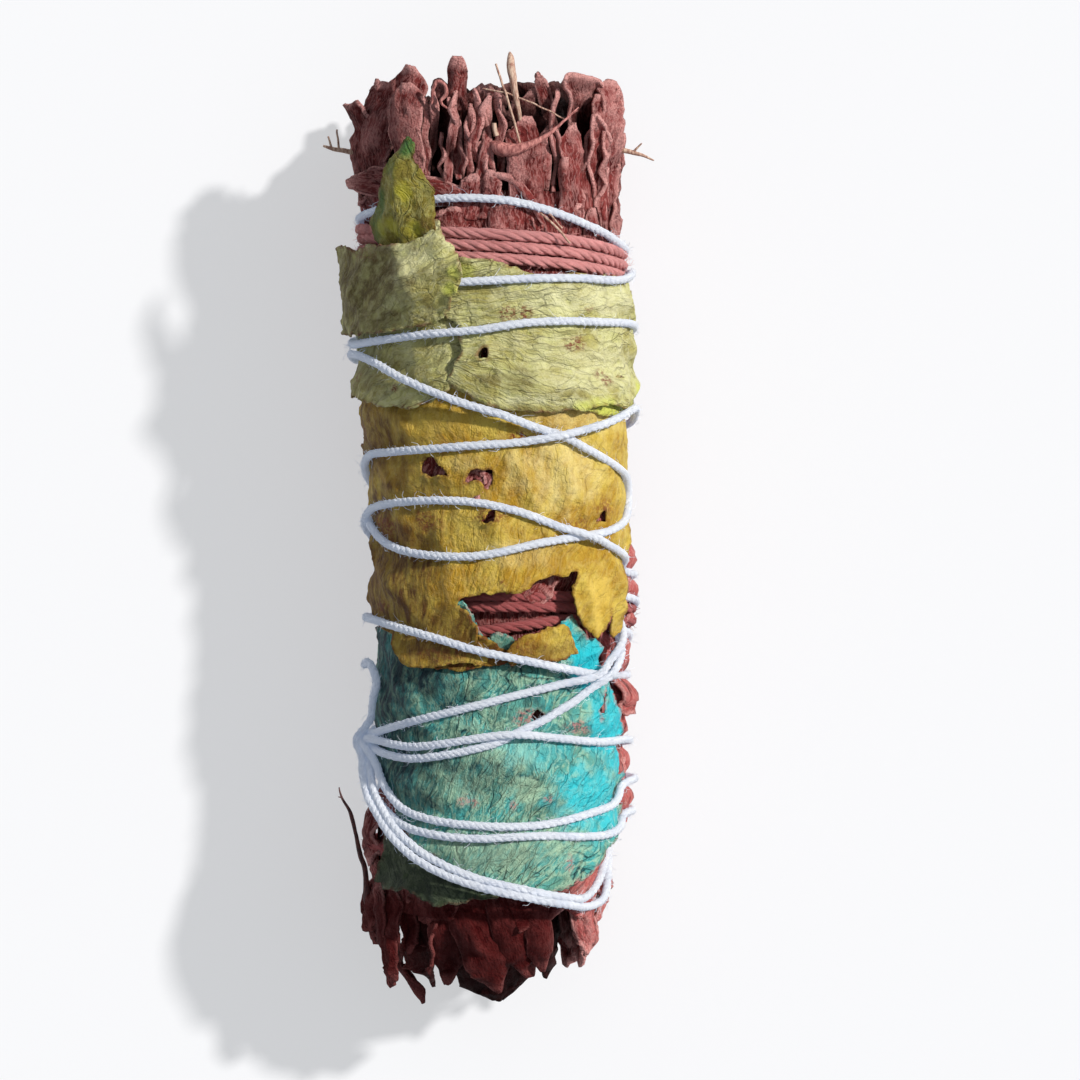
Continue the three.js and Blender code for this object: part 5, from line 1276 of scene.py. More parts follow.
GREEN_PETALS = [
    {
        "name": "green_petal_left", "base": (-34, 8), "seed": 41, "curl": 0.35, "height": left_green_height,
        "outline": [
            [-98, 22.2], [-97, 28.5], [-90, 31.4], [-78, 32.2], [-64, 31.4], [-51, 31.8], [-40, 31.6],
            [-31, 31.9], [-25, 32.6], [-23, 34.2], [-20.5, 34.6], [-18.5, 32.9], [-14.5, 31.2],
            [-11.6, 29.6], [-11, 27.8], [-14, 26.4], [-17, 24.6], [-20, 23.4], [-24, 22.6], [-32, 22.4],
            [-44, 22], [-70, 21.8],
        ],
        "folds": [
            [-92, 30, -60, 24, 1.6, 0.5], [-80, 23.4, -52, 30.6, 1.5, 0.45], [-60, 23, -24, 29, 1.8, 0.55],
            [-40, 31.4, -26, 24, 1.5, 0.5], [-50, 26, -30, 23, 1.2, 0.35], [-22, 34, -16, 28, 1.2, 0.5],
            [-36, 28, -12, 28.4, 1, 0.35],
        ],
        # Pale: painted highlight, partly bleached cream. Shade: painted shade
        "pale": [[-34, 29, 14, 2.5, 0.5], [-20, 32.6, 6, 1.6, 0.6], [-44, 31.4, 16, 0.7, 0.6]],
        "shade": [[-66, 27, 42, 7, 1], [-58, 23, 30, 2, 0.8], [-16, 28.6, 5, 1.6, 0.4]],
        "fresh": [[-15.4, 26.6, 3.5, 0.9, 0.9], [-13, 28.4, 3, 0.9, 0.7]],
        "worn": [[-55, 31, 12, 1, 0.4]],
    },
    {
        "name": "green_petal_right", "base": (-16, 23), "seed": 42, "pleats": 0.26,
        "height": right_green_height,
        "outline": [
            [-22, 29.2], [-14, 29.9], [-3, 30], [3, 29.4], [12, 28.7], [20, 28.2], [30, 28.3], [45, 28.2],
            [60, 28.4], [72, 27.6], [88, 25.2], [95, 21.5], [93, 17.6], [86, 15], [76, 13.6], [66, 13.2],
            [58, 13.6], [50, 14], [42, 13.7], [34, 13.2], [20, 12.9], [8, 13.1], [-2, 13.6], [-9, 14.4],
            [-15, 15.4], [-19.5, 16.3], [-17.5, 17.6], [-14.5, 19.2], [-13.6, 20.4], [-14.4, 22],
            [-16, 23.2], [-26, 24.2], [-26, 26.6],
        ],
        "holes": [[[-7.6, 19.2], [-6.2, 20], [-3.4, 20.1], [-2, 19.6], [-3.6, 19], [-6.4, 18.9]]],
        "folds": [
            [-12, 15.8, 40, 14.8, 1.5, 0.6], [2, 17.4, 60, 16.2, 1.3, 0.4], [40, 24.6, 84, 19.4, 1.6, 0.55],
            [56, 27.4, 90, 21, 1.4, 0.6], [0, 28.8, 46, 25.6, 1.6, 0.4], [62, 14, 86, 17.4, 1.4, 0.6],
            [10, 20.6, 36, 18.6, 1.1, 0.3], [76, 26, 80, 16, 1.5, 0.4],
        ],
        # Pale: painted highlight, partly bleached cream. Shade: painted shade
        "pale": [
            [40, 25.6, 40, 2.2, 0.7], [44, 18, 34, 3.4, 0.5], [8, 21, 12, 1, 0.4], [20, 14.2, 26, 0.7, 0.6],
        ],
        "shade": [[-3, 16.6, 7, 0.9, 0.7], [10, 16.6, 7, 1.5, 0.6], [14, 13.2, 40, 0.8, 0.5]],
        "fresh": [[46, 13.4, 16, 1.2, 0.9], [78, 14.8, 10, 1.8, 0.8], [-13, 28.6, 6, 1, 0.7]],
        "worn": [
            [5, 23.8, 3.6, 1, 1], [12, 23.9, 3.2, 0.9, 1], [32, 20.6, 6, 1, 0.95], [46, 16.9, 5, 1, 0.9],
            [40, 24.6, 3, 0.5, 0.6], [-5, 13.9, 6, 0.5, 0.5],
        ],
    },
    {
        "name": "green_petal_low", "base": (-36, 2), "seed": 43, "height": low_green_height,
        "outline": [
            [-98, 24.2], [-100, 19.9], [-102, 17.4], [-92, 14.9], [-76, 15.1], [-62, 14.3], [-48, 13.6],
            [-36, 13.5], [-28, 14.1], [-21, 15], [-14, 16], [-10, 17.6], [-7, 18.6], [-6.5, 20.4],
            [-6, 22.4], [-14, 24.6], [-27, 25.4], [-60, 25.6],
        ],
        # Shade: painted shade on the left side
        "shade": [[-60, 18, 40, 4, 0.5]],
        "worn": [[-44, 15.8, 2.5, 0.7, 1], [-74, 17, 4, 1, 0.5]],
    },
    {
        "name": "green_frill", "base": (34, 34), "seed": 44, "curl": 0.4, "alone": True,
        "height": level(2.3),
        "outline": [
            [28, 15.3], [33, 13.6], [39, 13.2], [47, 12.7], [55, 12.9], [62, 12.4], [70, 12.8], [79, 13.2],
            [88, 14.2], [88, 17], [69, 17], [46, 17],
        ],
        "fresh": [[60, 13.4, 30, 2, 1]],
        "worn": [[66, 12.8, 8, 0.5, 0.5]],
    },
]
YELLOW_PETALS = [
    {
        "name": "yellow_petal", "base": (-9, -34), "seed": 51, "crumpled": 0.2, "height": yellow_height,
        "outline": [
            [-104, 15.4], [-92, 16.3], [-76, 16.5], [-62, 16.2], [-48, 16], [-36, 16], [-28, 16.2],
            [-22, 16.4], [-14, 16.6], [20, 15.8], [60, 15.8], [86, 14.6], [94, 10.5], [90, 5.5], [84, 0.5],
            [76, -2.5], [68, -3.6], [60, -5], [66, -6.4], [65, -8], [60, -9.4], [64, -11], [57, -12],
            [52.5, -10.6], [51, -9], [49, -10.6], [44, -12], [38, -11.2], [33, -9.6], [31, -7.6],
            [30, -6.2], [34, -4.6], [31, -4.4], [28, -5.2], [20, -5], [15, -5.4], [12, -6.4], [6, -7],
            [-3, -6.8], [-11, -7.2], [-18, -7.6], [-20, -8.4], [-15, -8.8], [-11, -10.4], [-10, -12.2],
            [-6, -13.4], [-4, -14.6], [-14, -14.8], [-28, -15], [-38, -15.4], [-45, -15], [-50, -13.6],
            [-53, -11.6], [-64, -10.6], [-76, -9.6], [-82, -7.4], [-79, -5.6], [-74, -4.6], [-76, -1.8],
            [-88, -0.8], [-98, 1.5], [-101, 6], [-99, 9.2], [-88, 10.2], [-80, 11.2], [-86, 12.2],
            [-99, 12],
        ],
        "holes": [
            [[-35.5, 6.9], [-33, 8], [-29, 8.2], [-25, 7.2], [-22, 5.8], [-27, 6.2], [-31, 5.8]],
            [[-15.5, 5.3], [-12, 6.7], [-8, 6.4], [-3, 6.6], [-4, 5.2], [-5.5, 4.2], [-9, 5.4]],
            [[-9, 0.8], [-5, 2.2], [-2.5, 2.2], [-3, 1.2], [-6, 0.7]],
            [[45.5, 1], [48, 2.2], [50.5, 1.8], [52.5, 0.9], [49, 1.2]],
        ],
        "folds": [
            [4, 9.6, 22, -1, 1.4, 0.5], [16, 10.4, 38, 2, 1.4, 0.5], [28, 9, 30, 0, 1.2, 0.4],
            [-6, 4, 2, -5.6, 1.3, 0.4], [-28, 2, -20, -7, 1.5, 0.45], [-62, 8, -44, -3, 1.8, 0.5],
            [-52, 13, -36, 9, 1.5, 0.5], [44, 12, 58, 4, 1.4, 0.5], [50, -1, 62, -9, 1.2, 0.7],
            [36, -6, 44, -11.4, 1, 0.7], [-70, -3, -30, -12, 1.8, 0.5], [-40, -12.6, -12, -13.6, 1.2, 0.4],
        ],
        # Pale: painted highlight, partly bleached cream. Shade: painted shade
        "pale": [
            [26, 7, 26, 5, 0.5], [40, 12.4, 30, 2, 0.45], [-14, 7.6, 10, 1.2, 0.3], [8, -2.6, 20, 1.6, 0.3],
        ],
        "shade": [
            [-72, -5, 52, 12, 1], [-24, -11.5, 36, 4, 0.9], [-74, 10, 40, 5, 0.9], [-40, 4, 26, 5, 0.4],
        ],
        "fresh": [[44, -7.6, 8, 3.4, 0.7], [-20, 12, 26, 1.5, 0.4]],
        "worn": [
            [-62, 0.4, 15, 1.8, 0.9], [9, 10.4, 5, 0.7, 1], [-33, 1, 9, 1.4, 0.8], [-5, 1.6, 8, 1.2, 0.7],
            [-62, -8.5, 8, 1, 0.8], [-25, -13.6, 20, 1.1, 0.5], [36, 0.6, 14, 0.8, 0.5],
            [-80, 11, 10, 1.2, 0.9], [0, -6, 2.6, 0.5, 0.9], [-30, 9, 10, 1, 0.4], [50, 2.4, 7, 1.2, 0.6],
        ],
    },
    {
        "name": "yellow_layer", "base": (-9, -34), "seed": 53, "curl": 0.1, "alone": True,
        "height": level(2.35),
        "outline": [
            [-33, -13.9], [-29, -15.2], [-18, -15.6], [-9, -15.2], [0, -15], [5, -14.4], [3, -13.2],
            [-2, -12.6], [-8, -11.9], [-14, -11.2], [-26, -11.6], [-32, -12.4],
        ],
        # Shade: the layer's own brown and painted shade
        "shade": [[-10, -14, 34, 3, 1]],
        "worn": [[-8, -14.8, 16, 0.8, 0.6]],
    },
    {
        "name": "yellow_petal_scrap", "base": (2, -30), "seed": 52, "curl": 0.3,
        "height": level(SECOND_LAYER),
        "outline": [
            [2, -13.6], [5, -12.2], [9, -11.6], [15, -11.6], [20, -10.8], [27, -10.4], [30, -11.4],
            [34, -13.4], [28, -14.2], [20, -14.8], [15, -15], [9, -14.4], [4, -15.2],
        ],
        "folds": [[6, -14, 30, -12, 1.2, 0.5], [14, -12, 20, -14.6, 1, 0.4]],
        # Shade: the scrap's own brown and painted shade
        "shade": [[14, -13.6, 18, 2, 0.7]],
        "worn": [[10, -13, 10, 1, 0.4]],
    },
]
TURQUOISE_PETALS = [
    {
        "name": "turquoise_petal", "base": (-14, -58), "seed": 61,
        "height": stepped(SECOND_LAYER, FIRST_LAYER, -34.4, -31),
        "outline": [
            [-80, -10.8], [-60, -10.2], [-40, -8.6], [-24, -7.8], [-17, -7.9], [-13, -9.2], [-10, -11.2],
            [-7, -12.2], [-3, -11.4], [4, -11.6], [8, -12.8], [16, -13.4], [24, -12.4], [28, -10],
            [32, -9.2], [37, -11], [42, -12.2], [47, -12], [53, -13.4], [52, -15.6], [58, -17.4],
            [66, -19.4], [74, -21.4], [80, -22.6], [72, -23.9], [78, -25.4], [84, -27.8], [80, -30.6],
            [70, -32.8], [60, -34.6], [52, -36.4], [42, -38.2], [32, -39.6], [22, -40.2], [10, -39.7],
            [-2, -39], [-14, -37.8], [-28, -36.2], [-40, -34], [-48, -32.2], [-58, -30], [-70, -27.6],
            [-86, -25.4], [-97, -21.6], [-96, -16.8], [-88, -13.4],
        ],
        "holes": [
            [[51, -19.8], [53, -17.4], [54.5, -18.2], [53, -21.2]],
            [[15, -20.6], [18, -19.7], [22, -20.2], [20, -21.2], [17, -21.1]],
        ],
        "folds": [
            [30, -15, 60, -12.4, 1, 0.6], [-50, -28, -6, -31, 1.6, 0.5], [-14, -26.6, 20, -25, 1.3, 0.4],
            [24, -28, 66, -24, 1.4, 0.4], [-60, -14, -36, -22, 1.6, 0.6], [0, -36, 36, -33.8, 1.4, 0.4],
            [48, -13.5, 56, -22, 1, 0.7], [-30, -16, 10, -20, 1.5, 0.45],
        ],
        # Pale: painted highlight, partly bleached cream. Shade: painted shade, with the cords' shadows
        "pale": [
            [4, -35.6, 30, 3, 0.8], [6, -24.5, 18, 3, 0.6], [-16, -28.4, 12, 1.6, 0.5],
            [34, -33, 12, 3, 0.5], [12, -28.8, 12, 1.8, 0.9],
        ],
        "shade": [
            [-58, -15, 50, 8, 1], [-66, -24, 40, 8, 1], [-46, -30, 24, 4, 0.6], [10, -14.5, 22, 1.8, 0.5],
            [-30, -19, 26, 3, 0.45], [-4, -27, 24, 2.5, 0.4], [25, -31, 14, 1.5, 0.35],
            [40, -17, 16, 1.5, 0.4], [0, -36, 26, 2.2, 0.35], [4, -28.4, 14, 1.2, 0.3],
            [42, -14.2, 9, 1.6, 0.8], [52, -22.2, 26, 0.8, 0.7], [-22, -26.2, 28, 0.8, 0.8],
            [16, -18.4, 8, 1.6, 0.7], [72, -21.4, 8, 1.4, 0.7], [-4, -34.2, 26, 0.8, 0.6],
            [-42, -20.4, 12, 1, 0.6],
        ],
        "fresh": [
            [66, -22, 26, 7, 0.9], [50, -30, 26, 5, 0.8], [30, -12, 8, 2.5, 0.9], [44, -14.6, 15, 3.2, 1],
            [20, -24, 20, 3, 0.4],
        ],
        "worn": [
            [7, -30.4, 2, 0.5, 0.8], [23, -29.8, 2, 0.5, 0.8], [12, -20.8, 8, 1, 0.9],
            [38, -22, 8, 0.9, 0.8], [33, -37, 2.4, 1.2, 0.8], [-15, -30, 3, 0.7, 0.6],
            [-10, -30.2, 2, 0.5, 0.7],
        ],
    },
    {
        "name": "dark_green_petal", "base": (-22, -18), "seed": 62, "height": level(FIRST_LAYER),
        "outline": [
            [-56, -33], [-58, -35], [-56, -36.8], [-60, -39.4], [-50, -40], [-41, -39.8], [-33, -40.8],
            [-25, -41.5], [-15, -41.4], [-8, -40.7], [2, -40.6], [6, -39.8], [-2, -38.2], [-16, -36.9],
            [-30, -35.6], [-44, -34.6],
        ],
        # Shade: painted shade
        "shade": [[-30, -39, 30, 2, 0.5]],
    },
]

# Straws and twigs: [x, along, z, radius] in millimetres
STRAWS = [
    [[-0.1, 51.6, 27.6, 0.12], [1.2, 47.5, 28.9, 0.14], [2.6, 42.8, 29, 0.12]],
    [[-1.5, 48.9, 27.8, 0.09], [1.1, 48.3, 28.6, 0.1], [4.4, 47, 28.6, 0.09], [7.6, 45.5, 27.6, 0.08]],
    [[-0.3, 45, 28.4, 0.26], [0, 43.6, 28.2, 0.32]],
    [[4.8, 35, 28.4, 0.12], [6.4, 33.6, 28.6, 0.14], [8.1, 31.8, 28, 0.12]],
    [[5.8, 35, 27.8, 0.1], [7.2, 33.4, 28, 0.1]],
    [[1.4, 52.9, 27.6, 0.14], [1.5, 52.4, 28, 0.36], [1.6, 51.2, 28.5, 0.48], [1.8, 49.6, 28.7, 0.42],
     [2.2, 47.6, 28.5, 0.32], [2.6, 45.4, 28, 0.2]],
]
DRIED_FLOWER_STALK = [
    [[9, 46.8, 27.9, 0.07], [8.2, 46, 28.2, 0.11], [7.2, 45.1, 28.6, 0.15], [5.7, 43.7, 29.1, 0.24],
     [4.2, 42.8, 29.3, 0.38], [2.7, 42.2, 29.3, 0.56], [1.2, 42, 29, 0.76], [0.1, 42.3, 28.7, 0.78],
     [-0.6, 42.8, 28.3, 0.4]],
    [[8.2, 46, 28.2, 0.1], [8.9, 46.4, 28.5, 0.07]], [[7.8, 45.7, 28.3, 0.1], [8.2, 46.9, 28.6, 0.06]],
    [[-7.2, 47.2, 27.4, 0.1], [-7.1, 48.6, 28, 0.18], [-6.6, 49.6, 28.4, 0.22], [-5.8, 49.3, 28.5, 0.2],
     [-5.6, 48.2, 28.2, 0.24], [-6.2, 47.4, 28, 0.18], [-5.4, 46.6, 27.8, 0.1]],
]
TWIGS = [
    [[-19.6, 43.2, 17.4, 0.12], [-18.6, 42.9, 17.6, 0.22], [-17.2, 42.7, 17.2, 0.28], [-15, 42, 16.4, 0.3]],
    [[-18.6, 42.9, 17.6, 0.14], [-19, 44.2, 18.2, 0.1]], [[-17.8, 42.8, 17.4, 0.14], [-18, 45, 18.4, 0.1]],
    [[13.6, 42.9, 17.4, 0.3], [15.2, 42.4, 17.8, 0.26], [16.6, 42, 18, 0.16], [17.6, 41.5, 18.2, 0.08]],
    [[15.2, 42.4, 17.8, 0.16], [16.2, 43.4, 18.4, 0.08]],
]
DARK_STALK = [
    [[-17.8, -28.9, 17.4, 0.07], [-17.5, -30, 17.8, 0.13], [-16.8, -31.2, 17.8, 0.18],
     [-16.4, -32.2, 17.4, 0.24], [-16, -34, 16.8, 0.22], [-15.6, -36.1, 16.2, 0.28],
     [-15, -37.9, 15.8, 0.3], [-14.8, -40, 15.6, 0.36], [-14.6, -41.6, 15.6, 0.62],
     [-14.2, -43, 15.6, 0.4]],
    [[-17.5, -30, 17.8, 0.1], [-17.9, -29.9, 18.2, 0.05]],
]


# Settings


def length(name, description, default):
    """A length, its default in millimetres."""
    return FloatProperty(name=name, description=description, default=default * MM, unit="LENGTH", precision=6)


def strength(name, description, default):
    return FloatProperty(name=name, description=description, default=default, min=0)


def colour(name, *rgb):
    text = f"Colour: {name.lower()}"
    return FloatVectorProperty(
        name=name, description=text, subtype="COLOR", size=3, min=0, max=1, default=dye(*rgb)
    )


class CordSettings(bpy.types.PropertyGroup):
    white_ply: length("White ply", "Radius of one ply of the white cord", 0.34)
    white_lay: length("White lay", "Length of one turn of the white plies", 2.3)
    red_ply: length("Red ply", "Radius of one ply of the red cord", 0.33)
    red_lay: length("Red lay", "Length of one turn of the red plies", 6.0)
    on_petal: length("Above petals", "From a petal's middle to the middle of the white cord on it", 0.78)
    on_leaves: length("Above leaves", "From the packed leaves to the middle of the white cord", 0.5)
    crossing: length("Crossing", "How far a cord rises over another one", 0.88)
    fibres: IntProperty(
        name="Loose fibres", description="Fibres that stand out of each cord", default=5500, min=0
    )


class PetalSettings(bpy.types.PropertyGroup):
    petal_cell: length("Detail", "Size of a petal's faces", 0.3)
    petal_thickness: length("Thickness", "Thickness of a petal", 0.2)
    cord_dip: length("Dip", "How far a petal dips under a cord", 0.26)


class LeafSettings(bpy.types.PropertyGroup):
    leaf_thickness: length("Thickness", "Thickness of a sage leaf", 0.42)
    leaf_curl: FloatProperty(
        name="Curl", description="How strongly the leaves are curled", default=1.25, min=0.2, max=3
    )


class ColourSettings(bpy.types.PropertyGroup):
    # Sage in shade is the dark dye and, darker still, the painted shade of deep leaves. The lit fuzz is the
    # painted highlight, partly pale fuzz. The bright side is painted light down the right side
    sage_dark: colour("Sage in shade", 88, 26, 27)
    sage_middle: colour("Sage", 160, 72, 68)
    sage_light: colour("Sage lit fuzz", 246, 180, 172)
    sage_bright: colour("Sage, bright side", 232, 118, 112)
    green: colour("Green petals", 202, 199, 134)
    yellow: colour("Yellow petals", 208, 180, 76)
    turquoise: colour("Turquoise petals", 84, 174, 166)
    dark_green: colour("Dark green petal", 66, 76, 48)
    white_cord: colour("White cord", 252, 253, 255)
    red_cord: colour("Red cord", 246, 166, 162)
    straw: colour("Straw", 214, 184, 160)
    floor: colour("Floor", 170, 170, 172)


class StageSettings(bpy.types.PropertyGroup):
    camera_height: length("Camera height", "Height of the camera above the floor", 692)
    lens: FloatProperty(name="Lens", description="Focal length", default=200, unit="CAMERA")
    key: strength("Key light", "Strength of the light from the right", 3.8)
    overhead: strength("Overhead light", "Strength of the soft light from above", 0.4)
    fill: strength("Fill light", "Strength of the light from all round", 0.24)
    glow: strength("Floor glow", "How strongly the floor is lit from within", 0.5)


GROUPS = {
    "stick_cords": CordSettings,
    "stick_petals": PetalSettings,
    "stick_leaves": LeafSettings,
    "stick_colours": ColourSettings,
    "stick_stage": StageSettings,
}


# Operators


class AddSage(bpy.types.Operator):
    """Adds the leafy sage sprigs"""

    bl_idname = "stick.add_sage"
    bl_label = "Sage sprigs"

    def execute(self, context):
        sizes = context.scene.stick_leaves
        paint = sage_paint(context.scene.stick_colours)
        grids = [flat_grid(*cells) for cells in ((17, 42), (5, 15), (8, 18), (4, 40), (13, 30))]
        broad, narrow, middle, strip, covering = grids
        sprigs = [[] for _ in SPRIG_NAMES]
        seed = 100
        for grid, leaves in ((broad, BOLD_LEAVES), (strip, frills())):
            for leaf in leaves:
                seed += 1
                x, along, depth = leaf[2][:3]
                lean = (x - float(through(CENTRE_LINE, along))) / (HALF_WIDTH - depth)
                sector = sector_of(np.degrees(np.arcsin(np.clip(lean, -1, 1))))
                sprigs[sector].append(ribbon_leaf(grid, leaf, seed))
        cords = unwound(WHITE_ROUTE), unwound(RED_ROUTE)
        for grid, leaves, pressed_by in (
            (broad, BROAD_LEAVES, ()),
            (middle, drawn_leaves() + pressed_leaves() + resting_leaves(), ()),
            (narrow, shred_leaves(), ()),
            (covering, COVERING_LEAVES, cords),
        ):
            for leaf in leaves:
                seed += 1
                sector = -1 if leaf[1] > HEART_DEPTH else sector_of(leaf[0])
                sprigs[sector].append(curled_leaf(grid, leaf, seed, sizes, pressed_by))
        for sector, edges in enumerate(zip(SPRIG_EDGES, SPRIG_EDGES[1:])):
            sprigs[sector].append(packed_stems(*edges, sector))
        for name, pieces in zip(SPRIG_NAMES, sprigs):
            only(*pieces)
            bpy.ops.object.join()
            sprig = context.object
            apply_modifier(sprig, "SOLIDIFY", thickness=sizes.leaf_thickness, offset=0, use_even_offset=False)
            low = points_of(sprig.data)
            low[:, 2] = np.maximum(low[:, 2], 0)
            move_points(sprig.data, low)
            finish_piece(sprig, f"sage_leaves_{name}", paint, "sage", f"sage_sprig_{name}")
        for blank, _, _ in grids:
            bpy.data.objects.remove(blank)
        return {"FINISHED"}


class AddStalks(bpy.types.Operator):
    """Adds the straws, twigs and the loose dark stalk"""

    bl_idname = "stick.add_stalks"
    bl_label = "Straws and stalks"

    def execute(self, context):
        straw = dry_paint("dry_straw", tuple(context.scene.stick_colours.straw), dye(150, 100, 84))
        flower = dry_paint("dry_flower_stalk", dye(214, 142, 132), dye(136, 72, 68))
        stalk = dry_paint("dark_stalk", dye(104, 58, 52), dye(48, 24, 26))
        for name, lines, paint in (
            ("pale_straws", STRAWS, straw), ("dry_twigs", TWIGS, straw),
            ("dried_flower_stalk", DRIED_FLOWER_STALK, flower), ("dark_stalk", DARK_STALK, stalk),
        ):
            shapes, widths = [], []
            for line in lines:
                fine, _ = smooth_line(line, 0.25)
                wobble = [grain(fine[:, 1] * 1.3, fine[:, 0] + k, 70 + k) for k in range(3)]
                shapes.append(fine[:, :3] + 0.06 * np.stack(wobble, 1))
                widths.append(fine[:, 3])
            finish_piece(tubes(shapes, widths), name, paint, "sage")
        return {"FINISHED"}


def add_cord(name, cord, ply, fibres, seed, paint):
    """Finishes a cord made by plied, and adds the loose fibres that stand out of it."""
    obj, *line = cord
    finish_piece(obj, f"{name}_plies", paint, name, name)
    finish_piece(fuzz(*line, ply, fibres, seed), f"{name}_fuzz", paint, name)


class AddRedCord(bpy.types.Operator):
    """Adds the red cord under the petals"""

    bl_idname = "stick.add_red_cord"
    bl_label = "Red cord"

    def execute(self, context):
        cords, colours = context.scene.stick_cords, context.scene.stick_colours
        angle, along, run = route_samples(RED_ROUTE)
        height = RED_CORD_HEIGHT + 0.1 * grain(run * 0.2, 0 * run, 8)
        ply = cords.red_ply / MM
        cord = plied(angle, along, run, height, [ply, 0.33, cords.red_lay / MM, 4], 0.6)
        dyes = colours.red_cord, dye(176, 92, 90), dye(236, 176, 166)
        # The last colour is painted shade towards the lower end
        paint = cotton_paint("red_cotton", *dyes, run[-1], 0.12, 0.0, dye(170, 62, 62))
        add_cord("red_cord", cord, ply + 0.3, cords.fibres, 5, paint)
        return {"FINISHED"}


class AddWhiteCord(bpy.types.Operator):
    """Adds the white cord that is wound over everything"""

    bl_idname = "stick.add_white_cord"
    bl_label = "White cord"

    def execute(self, context):
        cords, colours = context.scene.stick_cords, context.scene.stick_colours
        red_angle, red_along, red_run = route_samples(RED_ROUTE)
        red_cord = red_angle, red_along, np.full(len(red_run), RED_CORD_HEIGHT)
        angle, along, run = route_samples(WHITE_ROUTE)
        bed = white_cord_bed(angle, along, cords.on_petal / MM, cords.on_leaves / MM)
        height = raised_at_crossings(angle, along, run, bed, red_cord, cords.crossing / MM)
        ply = cords.white_ply / MM
        cord = plied(angle, along, run, height, [ply, 0.16, cords.white_lay / MM, 3], 0.4)
        dyes = colours.white_cord, dye(212, 218, 238), dye(220, 214, 208)
        # 0.16 is the strength of the painted glow on the shaded side
        paint = cotton_paint("white_cotton", *dyes, run[-1], 0.3, 0.16)
        add_cord("white_cord", cord, ply + 0.2, cords.fibres, 6, paint)
        return {"FINISHED"}


def add_petals(context, petals, paint_name, light, slot):
    """Adds petals of one dye, which dip under every turn of the white cord that lies on them."""
    paint = petal_paint(paint_name, light)
    cords = unwound(WHITE_ROUTE)
    hidden = in_tucked_turn(cords[:, 1]) & (cords[:, 0] < TUCKED_UP_TO * PER_DEGREE)
    for petal in petals:
        obj = torn_petal(petal, cords[~hidden], context.scene.stick_petals)
        stands_for = [] if petal.get("alone") else [petal["name"]]
        finish_piece(obj, petal["name"] + "_torn", paint, slot, *stands_for)


class AddGreenPetals(bpy.types.Operator):
    """Adds the three green petals of the upper part"""

    bl_idname = "stick.add_green_petals"
    bl_label = "Green petals"

    def execute(self, context):
        add_petals(context, GREEN_PETALS, "green_petal", context.scene.stick_colours.green, "green_petal")
        add_petals(context, [GREEN_TIP], "green_tip", dye(150, 138, 52), "green_petal")
        return {"FINISHED"}


class AddYellowPetals(bpy.types.Operator):
    """Adds the large yellow petal and its loose scrap"""

    bl_idname = "stick.add_yellow_petals"
    bl_label = "Yellow petals"

    def execute(self, context):
        add_petals(context, YELLOW_PETALS, "yellow_petal", context.scene.stick_colours.yellow, "yellow_petal")
        return {"FINISHED"}


class AddTurquoisePetals(bpy.types.Operator):
    """Adds the turquoise petal and the dark green one beneath it"""

    bl_idname = "stick.add_turquoise_petals"
    bl_label = "Turquoise petals"

    def execute(self, context):
        colours = context.scene.stick_colours
        add_petals(context, TURQUOISE_PETALS[:1], "turquoise_petal", colours.turquoise, "turquoise_petal")
        add_petals(context, TURQUOISE_PETALS[1:], "dark_petal", colours.dark_green, "dark_petal")
        return {"FINISHED"}


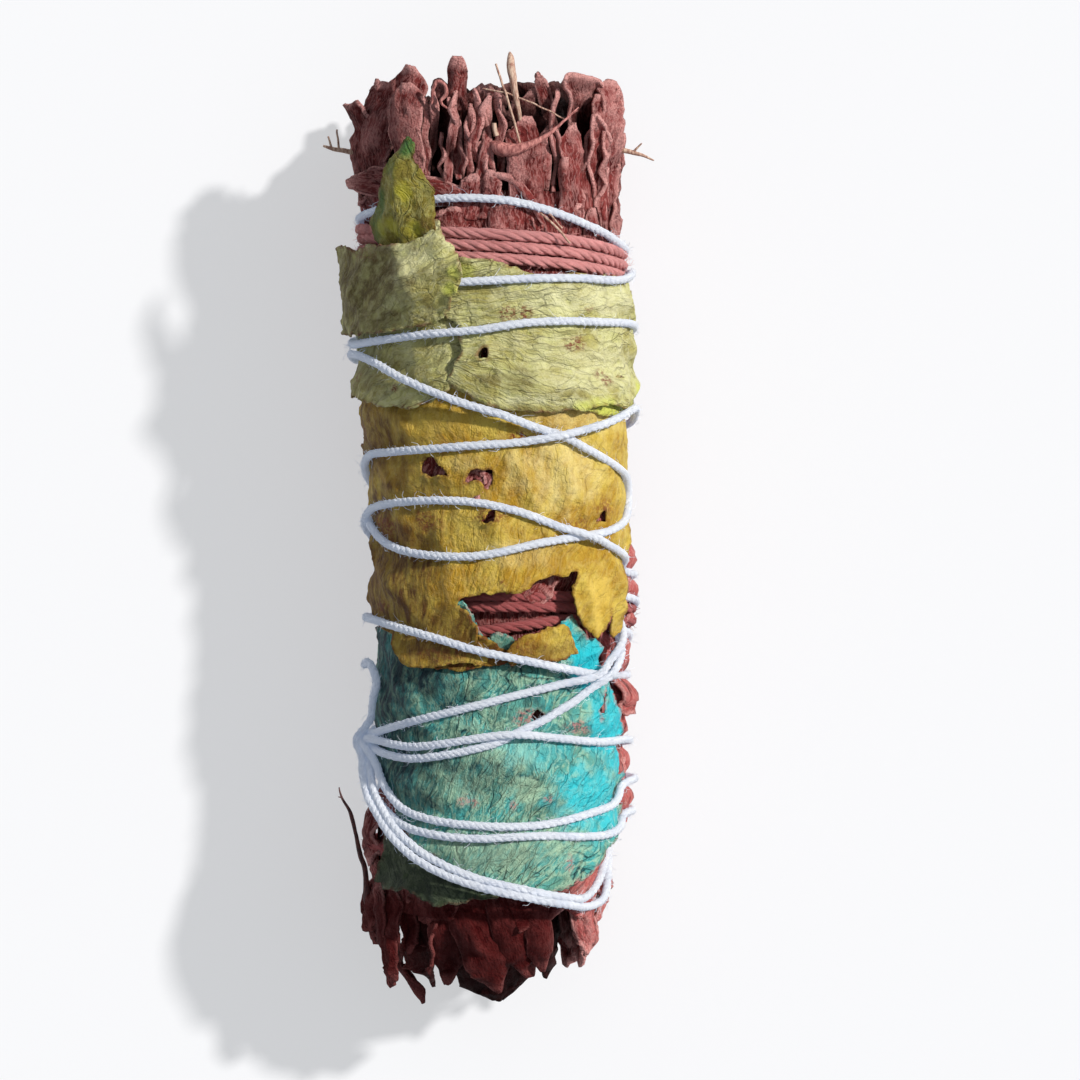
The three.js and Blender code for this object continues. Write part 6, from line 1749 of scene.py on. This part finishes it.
class AddStage(bpy.types.Operator):
    """Adds the pale floor, the lights and the camera"""

    bl_idname = "stick.add_stage"
    bl_label = "Stage"

    def execute(self, context):
        scene, settings = context.scene, context.scene.stick_stage
        bpy.ops.object.select_all(action="DESELECT")
        bpy.ops.mesh.primitive_plane_add(size=6, location=(0, 0, -0.2 * MM))
        floor = context.object
        floor.name = "floor"
        bpy.ops.object.transform_apply(location=True)
        floor.data.materials.append(floor_paint(scene.stick_colours.floor, settings.glow))

        world = bpy.data.worlds.new("soft_light")
        scene.world = world
        world.use_nodes = True
        sky = world.node_tree.nodes["Background"].inputs
        sky["Color"].default_value = (0.72, 0.84, 1.0, 1)
        sky["Strength"].default_value = settings.fill
        for name, towards, energy, softness, tint in (
            ("key_light", (0.66, 0.36, 0.66), settings.key, 0.06, (1.0, 0.98, 0.95)),
            ("overhead_light", (0.2, 0.1, 1.0), settings.overhead, 1.2, (1.0, 1.0, 1.0)),
        ):
            turn = Vector(towards).to_track_quat("Z", "Y").to_euler()
            bpy.ops.object.light_add(type="SUN", location=towards, rotation=turn)
            context.object.name = name
            sun = context.object.data
            sun.energy, sun.angle, sun.color = energy, softness, tint

        bpy.ops.object.camera_add(location=(4.78 * MM, -1.1 * MM, settings.camera_height), rotation=(0, 0, 0))
        scene.camera = context.object
        scene.camera.name = "camera"
        camera = scene.camera.data
        camera.lens, camera.sensor_width = settings.lens, 36
        camera.clip_start, camera.clip_end = 0.01, 20
        scene.view_settings.view_transform = "Standard"
        return {"FINISHED"}


STEPS = (
    AddStage, AddSage, AddStalks, AddRedCord, AddGreenPetals, AddYellowPetals, AddTurquoisePetals,
    AddWhiteCord,
)


class StickPanel(bpy.types.Panel):
    """Lists the pieces and their settings"""

    bl_idname = "VIEW3D_PT_smudge_stick"
    bl_label = "Smudge stick"
    bl_space_type = "VIEW_3D"
    bl_region_type = "UI"
    bl_category = "Smudge stick"

    def draw(self, context):
        for step in STEPS:
            self.layout.operator(step.bl_idname)
        for name, group in GROUPS.items():
            box = self.layout.box()
            for setting in group.__annotations__:
                box.prop(getattr(context.scene, name), setting)


def register():
    for kind in (*GROUPS.values(), *STEPS, StickPanel):
        bpy.utils.register_class(kind)
    for name, group in GROUPS.items():
        setattr(bpy.types.Scene, name, PointerProperty(type=group))


def unregister():
    for name in GROUPS:
        delattr(bpy.types.Scene, name)
    for kind in reversed((*GROUPS.values(), *STEPS, StickPanel)):
        bpy.utils.unregister_class(kind)


def main():
    register()
    for step in STEPS:
        group, name = step.bl_idname.split(".")
        getattr(getattr(bpy.ops, group), name)()


if __name__ == "__main__":
    main()
